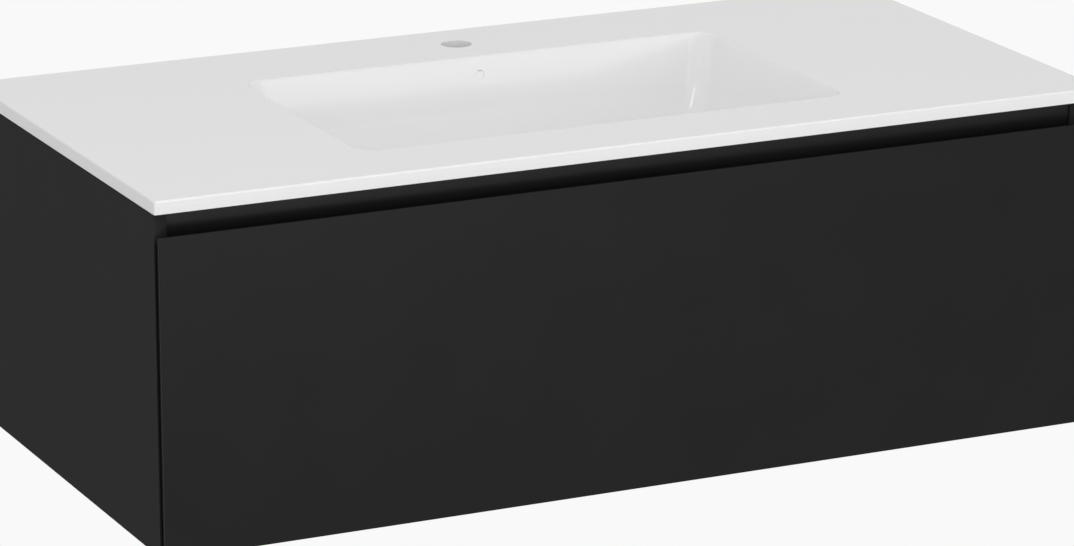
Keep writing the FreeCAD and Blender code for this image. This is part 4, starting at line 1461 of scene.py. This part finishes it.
@dataclass
class Runner:
    """One of the two roller runners under the drawer."""

    side: Side
    fold: Easing = Easing(0.0005, longer=0.0012)
    roll: Easing = Easing(0.0012, 3, 0.020)
    roller_edge: float = 0.0003
    roller_steps: int = 28
    cage_edges: Easing = Easing(0.0003, longer=0.001)
    case_edges: Easing = Easing(0.0008, longer=0.003)
    rod_radius: float = 0.0016
    rod_edge: float = 0.0005
    rod_margin: float = 0.006
    rod_drop: float = 0.0027
    rod_share: float = 0.45
    rod_tip: float = 0.7
    rod_steps: int = 24
    piston: float = 1.4
    body: str = "cabinet"

    def rollers(self, level: Level) -> None:
        """Build the rollers of one cage and the cage round them.

        Args:
            level: Which of the two cages.
        """
        body = self.side.named(level.named("rolling"))
        node = self.side.named(level.named("rollers"))
        shape = Shape()
        edge = self.roller_edge
        for box in islands(node):
            radius = box.size.z / 2
            length = box.size.x
            outline = [(radius - edge, 0.0), (radius, edge), (radius, length - edge), (radius - edge, length)]
            foot = Vector((box.low.x, box.middle.y, box.middle.z))
            shape.turned(outline, foot, ALONG_X, self.roller_steps, hollow=False)
        shape.piece(f"{node}_turned", ROLLER_STEEL, body, node)
        soften_node(self.side.named(level.named("cage")), NYLON, body, self.cage_edges)

    def damper(self) -> None:
        """Build the soft-close unit: a case with a track, and the damper's rod in it."""
        node = self.side.named("soft_close")
        soften_node(node, GREY_PLASTIC, self.body, self.case_edges)
        box = Box(*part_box(node))
        length = box.size.y - 2 * self.rod_margin
        radius = self.rod_radius
        thick = radius * self.piston
        step = length * self.rod_share
        outline = [
            (radius * self.rod_tip, 0.0), (radius, self.rod_edge), (radius, step), (thick, step),
            (thick, length - self.rod_edge), (radius, length),
        ]
        foot = Vector((box.middle.x, box.low.y + self.rod_margin, box.high.z - self.rod_drop))
        shape = Shape()
        shape.turned(outline, foot, ALONG_Y, self.rod_steps, hollow=False)
        shape.piece(self.side.named("damper_rod"), ROLLER_STEEL, self.body)

    def build(self) -> None:
        """Build the rails, the rollers between them and the soft-close unit."""
        middle = self.side.named("middle")
        soften_node(self.side.named("cabinet_rail"), ZINC_STEEL, self.body, self.fold)
        soften_node(f"{middle}_rail", ZINC_STEEL, middle, self.roll)
        soften_node(self.side.named("drawer_rail"), ZINC_STEEL, "drawer", self.fold)
        for level in Level:
            self.rollers(level)
        self.damper()


@dataclass
class Drawer:
    """The drawer: its front, the box behind it and the fittings between them."""

    front_edges: Easing = Easing(0.0006, 3, 0.0012)
    board_edges: Easing = Easing(0.0004)
    side_roll: Easing = Easing(0.0026, 4, 0.1)
    side_fold: Easing = Easing(0.0004, longer=0.030)
    roll_zone: Pair = (0.0001, 0.004)
    bracket_fold: Easing = Easing(0.0004, longer=0.0015)
    guard_edges: Easing = Easing(0.0018, 3)
    bracket_screw: PanScrew = PanScrew(0.004, 0.0022, 0.002)
    body: str = "drawer"

    def sides(self) -> None:
        """Build the folded steel sides with a rolled upper edge."""
        for side in Side:
            node = side.named("drawer_side")
            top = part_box(node)[1].z

            def on_top(edge: bmesh.types.BMEdge) -> bool:
                """Tell whether an edge runs along the top of the side."""
                return all(point.co.z > top - self.roll_zone[0] for point in edge.verts)

            def elsewhere(edge: bmesh.types.BMEdge) -> bool:
                """Tell whether an edge lies below the rolled top."""
                return all(point.co.z < top - self.roll_zone[1] for point in edge.verts)

            shape = Shape.of_node(node).soften(self.side_roll, on_top)
            shape.soften(self.side_fold, elsewhere)
            shape.piece(f"{node}_folded", DRAWER_STEEL, self.body, node)

    def build(self) -> None:
        """Build every piece of the drawer."""
        soften_node("drawer_front", BLACK_FRONT, self.body, self.front_edges)
        self.sides()
        soften_node("drawer_bottom", DRAWER_BOARD, self.body, self.board_edges)
        soften_node("notch_guard", GREY_PLASTIC, self.body, self.guard_edges)
        for side in Side:
            soften_node(side.named("drawer_back"), DRAWER_BOARD, self.body, self.board_edges)
            soften_node(side.named("front_bracket"), ZINC_STEEL, self.body, self.bracket_fold)
        shape = Shape()
        for box in islands("bracket_screws"):
            seat = Vector((box.middle.x, box.high.y - self.bracket_screw.head_height, box.middle.z))
            self.bracket_screw.add_to(shape, seat, ALONG_Y, seat.y - box.low.y)
        shape.piece("drawer_bracket_screws", ZINC_STEEL, self.body, "bracket_screws")


@dataclass(frozen=True)
class Lamp:
    """A soft box: its place, size, power and what it is aimed at."""

    name: str
    place: Triple
    size: Pair
    power: float
    target: Triple = (0.0, -0.26, -0.05)

    def build(self) -> None:
        """Add the lamp, aimed at its target."""
        light = bpy.data.lights.new(self.name, "AREA")
        light.shape = "RECTANGLE"
        light.size, light.size_y = self.size
        light.energy = self.power
        lamp = bpy.data.objects.new(self.name, light)
        lamp.location = self.place
        aim = Vector(self.target) - Vector(self.place)
        lamp.rotation_euler = aim.to_track_quat("-Z", "Y").to_euler()
        bpy.context.scene.collection.objects.link(lamp)


@dataclass
class Studio:
    """The floor below the unit, the light and the camera."""

    floor_height: float = -0.76
    floor_size: float = 30.0
    floor_colour: Colour = (0.8, 0.8, 0.8)
    floor_bounce: Colour = (0.26, 0.26, 0.26)
    backdrop: float = 0.947
    ambient: float = 1.045
    dimming: float = 0.75
    fade: Pair = (0.5, 1.1)
    camera_place: Triple = (-2.20768, -4.92298, 1.37523)
    camera_pitch: float = 16.098
    camera_yaw: float = 25.355
    camera_lens: float = 171.80
    sensor_width: float = 36.0
    view_range: float = 100.0
    lamps: tuple[Lamp, ...] = (
        Lamp("front_low", (0.1, -4.8, -0.35), (3.4, 0.7), 41.0, (0.1, -0.26, -0.05)),
        Lamp("front_right", (1.4, -4.8, 0.55), (2.4, 1.0), 10.5, (1.4, -0.26, 0.0)),
        Lamp("left_strip", (-1.485, -2.586, 2.969), (0.5, 4.2), 40.0, (0.25, -0.13, 0.02)),
        Lamp("left_box", (-3.1, -1.8, 2.2), (1.8, 1.8), 6.5),
        Lamp("right_box", (3.07, -2.18, 1.69), (1.6, 2.0), 10.0),
    )

    def seen(self, graph: Graph) -> Socket:
        """Return 1 for rays that show the backdrop: straight, mirrored or through glass.

        Args:
            graph: The nodes of the world or the floor.

        Returns:
            The mask.
        """
        camera, glossy, passed = (
            graph.node("ShaderNodeLightPath", output=f"Is {kind} Ray")
            for kind in ("Camera", "Glossy", "Transmission")
        )
        return (camera + glossy + passed).limited()

    def sky(self) -> None:
        """Light the scene, less from above, and show the backdrop where the camera looks past the unit."""
        world = bpy.data.worlds.new("studio")
        bpy.context.scene.world = world
        graph = Graph(world)
        toward = graph.node("ShaderNodeTexCoord", output="Generated")
        rise = graph.node("ShaderNodeSeparateXYZ", {}, {0: toward}, "Z").limited()
        level = self.ambient * (1.0 - self.dimming * rise)
        light = graph.node("ShaderNodeBackground", {}, {0: WHITE, 1: level})
        shown = graph.node("ShaderNodeBackground", {}, {0: WHITE, 1: self.backdrop})
        mixed = graph.node("ShaderNodeMixShader", {}, {0: self.seen(graph), 1: light, 2: shown})
        graph.close(mixed, "ShaderNodeOutputWorld")

    def floor_material(self) -> bpy.types.Material:
        """Make the pale floor's material.

        Returns:
            A material that keeps the unit's shadow and fades into the backdrop.
        """
        material = bpy.data.materials.new("pale_floor")
        graph = Graph(material)
        far = graph.node("ShaderNodeVectorMath", {"operation": "LENGTH"}, {0: graph.place()}, "Value")
        start, end = self.fade
        fade = ((far - start) / (end - start)).limited().smooth()
        seen = self.seen(graph)
        colour = graph.blend(seen, self.floor_bounce, self.floor_colour)
        plain = graph.node("ShaderNodeBsdfDiffuse", {}, {0: colour})
        glow = graph.node("ShaderNodeEmission", {}, {0: WHITE, 1: self.backdrop})
        graph.close(graph.node("ShaderNodeMixShader", {}, {0: seen * fade, 1: plain, 2: glow}))
        return material

    def floor(self) -> None:
        """Lay the floor."""
        shape = Shape()
        half = self.floor_size / 2
        corners = ((-half, -half), (half, -half), (half, half), (-half, half))
        ring = [Vector((x, y, self.floor_height)) for x, y in corners]
        shape.cap(shape.rows([ring])[0])
        mesh = bpy.data.meshes.new("floor")
        shape.mesh.to_mesh(mesh)
        shape.mesh.free()
        mesh.materials.append(self.floor_material())
        floor = bpy.data.objects.new("floor", mesh)
        bpy.context.scene.collection.objects.link(floor)

    def camera(self) -> None:
        """Set the camera up at the photograph's angle."""
        lens = bpy.data.cameras.new("camera")
        lens.sensor_fit = "HORIZONTAL"
        lens.sensor_width = self.sensor_width
        lens.lens = self.camera_lens
        lens.clip_end = self.view_range
        camera = bpy.data.objects.new("camera", lens)
        camera.location = self.camera_place
        camera.rotation_euler = (math.radians(90 - self.camera_pitch), 0.0, math.radians(-self.camera_yaw))
        bpy.context.scene.collection.objects.link(camera)
        bpy.context.scene.camera = camera

    def build(self) -> None:
        """Set up the studio."""
        bpy.context.scene.view_settings.view_transform = "Standard"
        self.sky()
        self.floor()
        for lamp in self.lamps:
            lamp.build()
        self.camera()


def main() -> None:
    """Build the unit and its studio."""
    logging.basicConfig(level=logging.INFO, format="%(name)s: %(message)s")
    Studio().build()
    CastTop().build()
    Waste().build()
    Cabinet().build()
    WallHanging().build()
    for side in Side:
        Runner(side).build()
    Drawer().build()


if __name__ == "__main__":
    main()
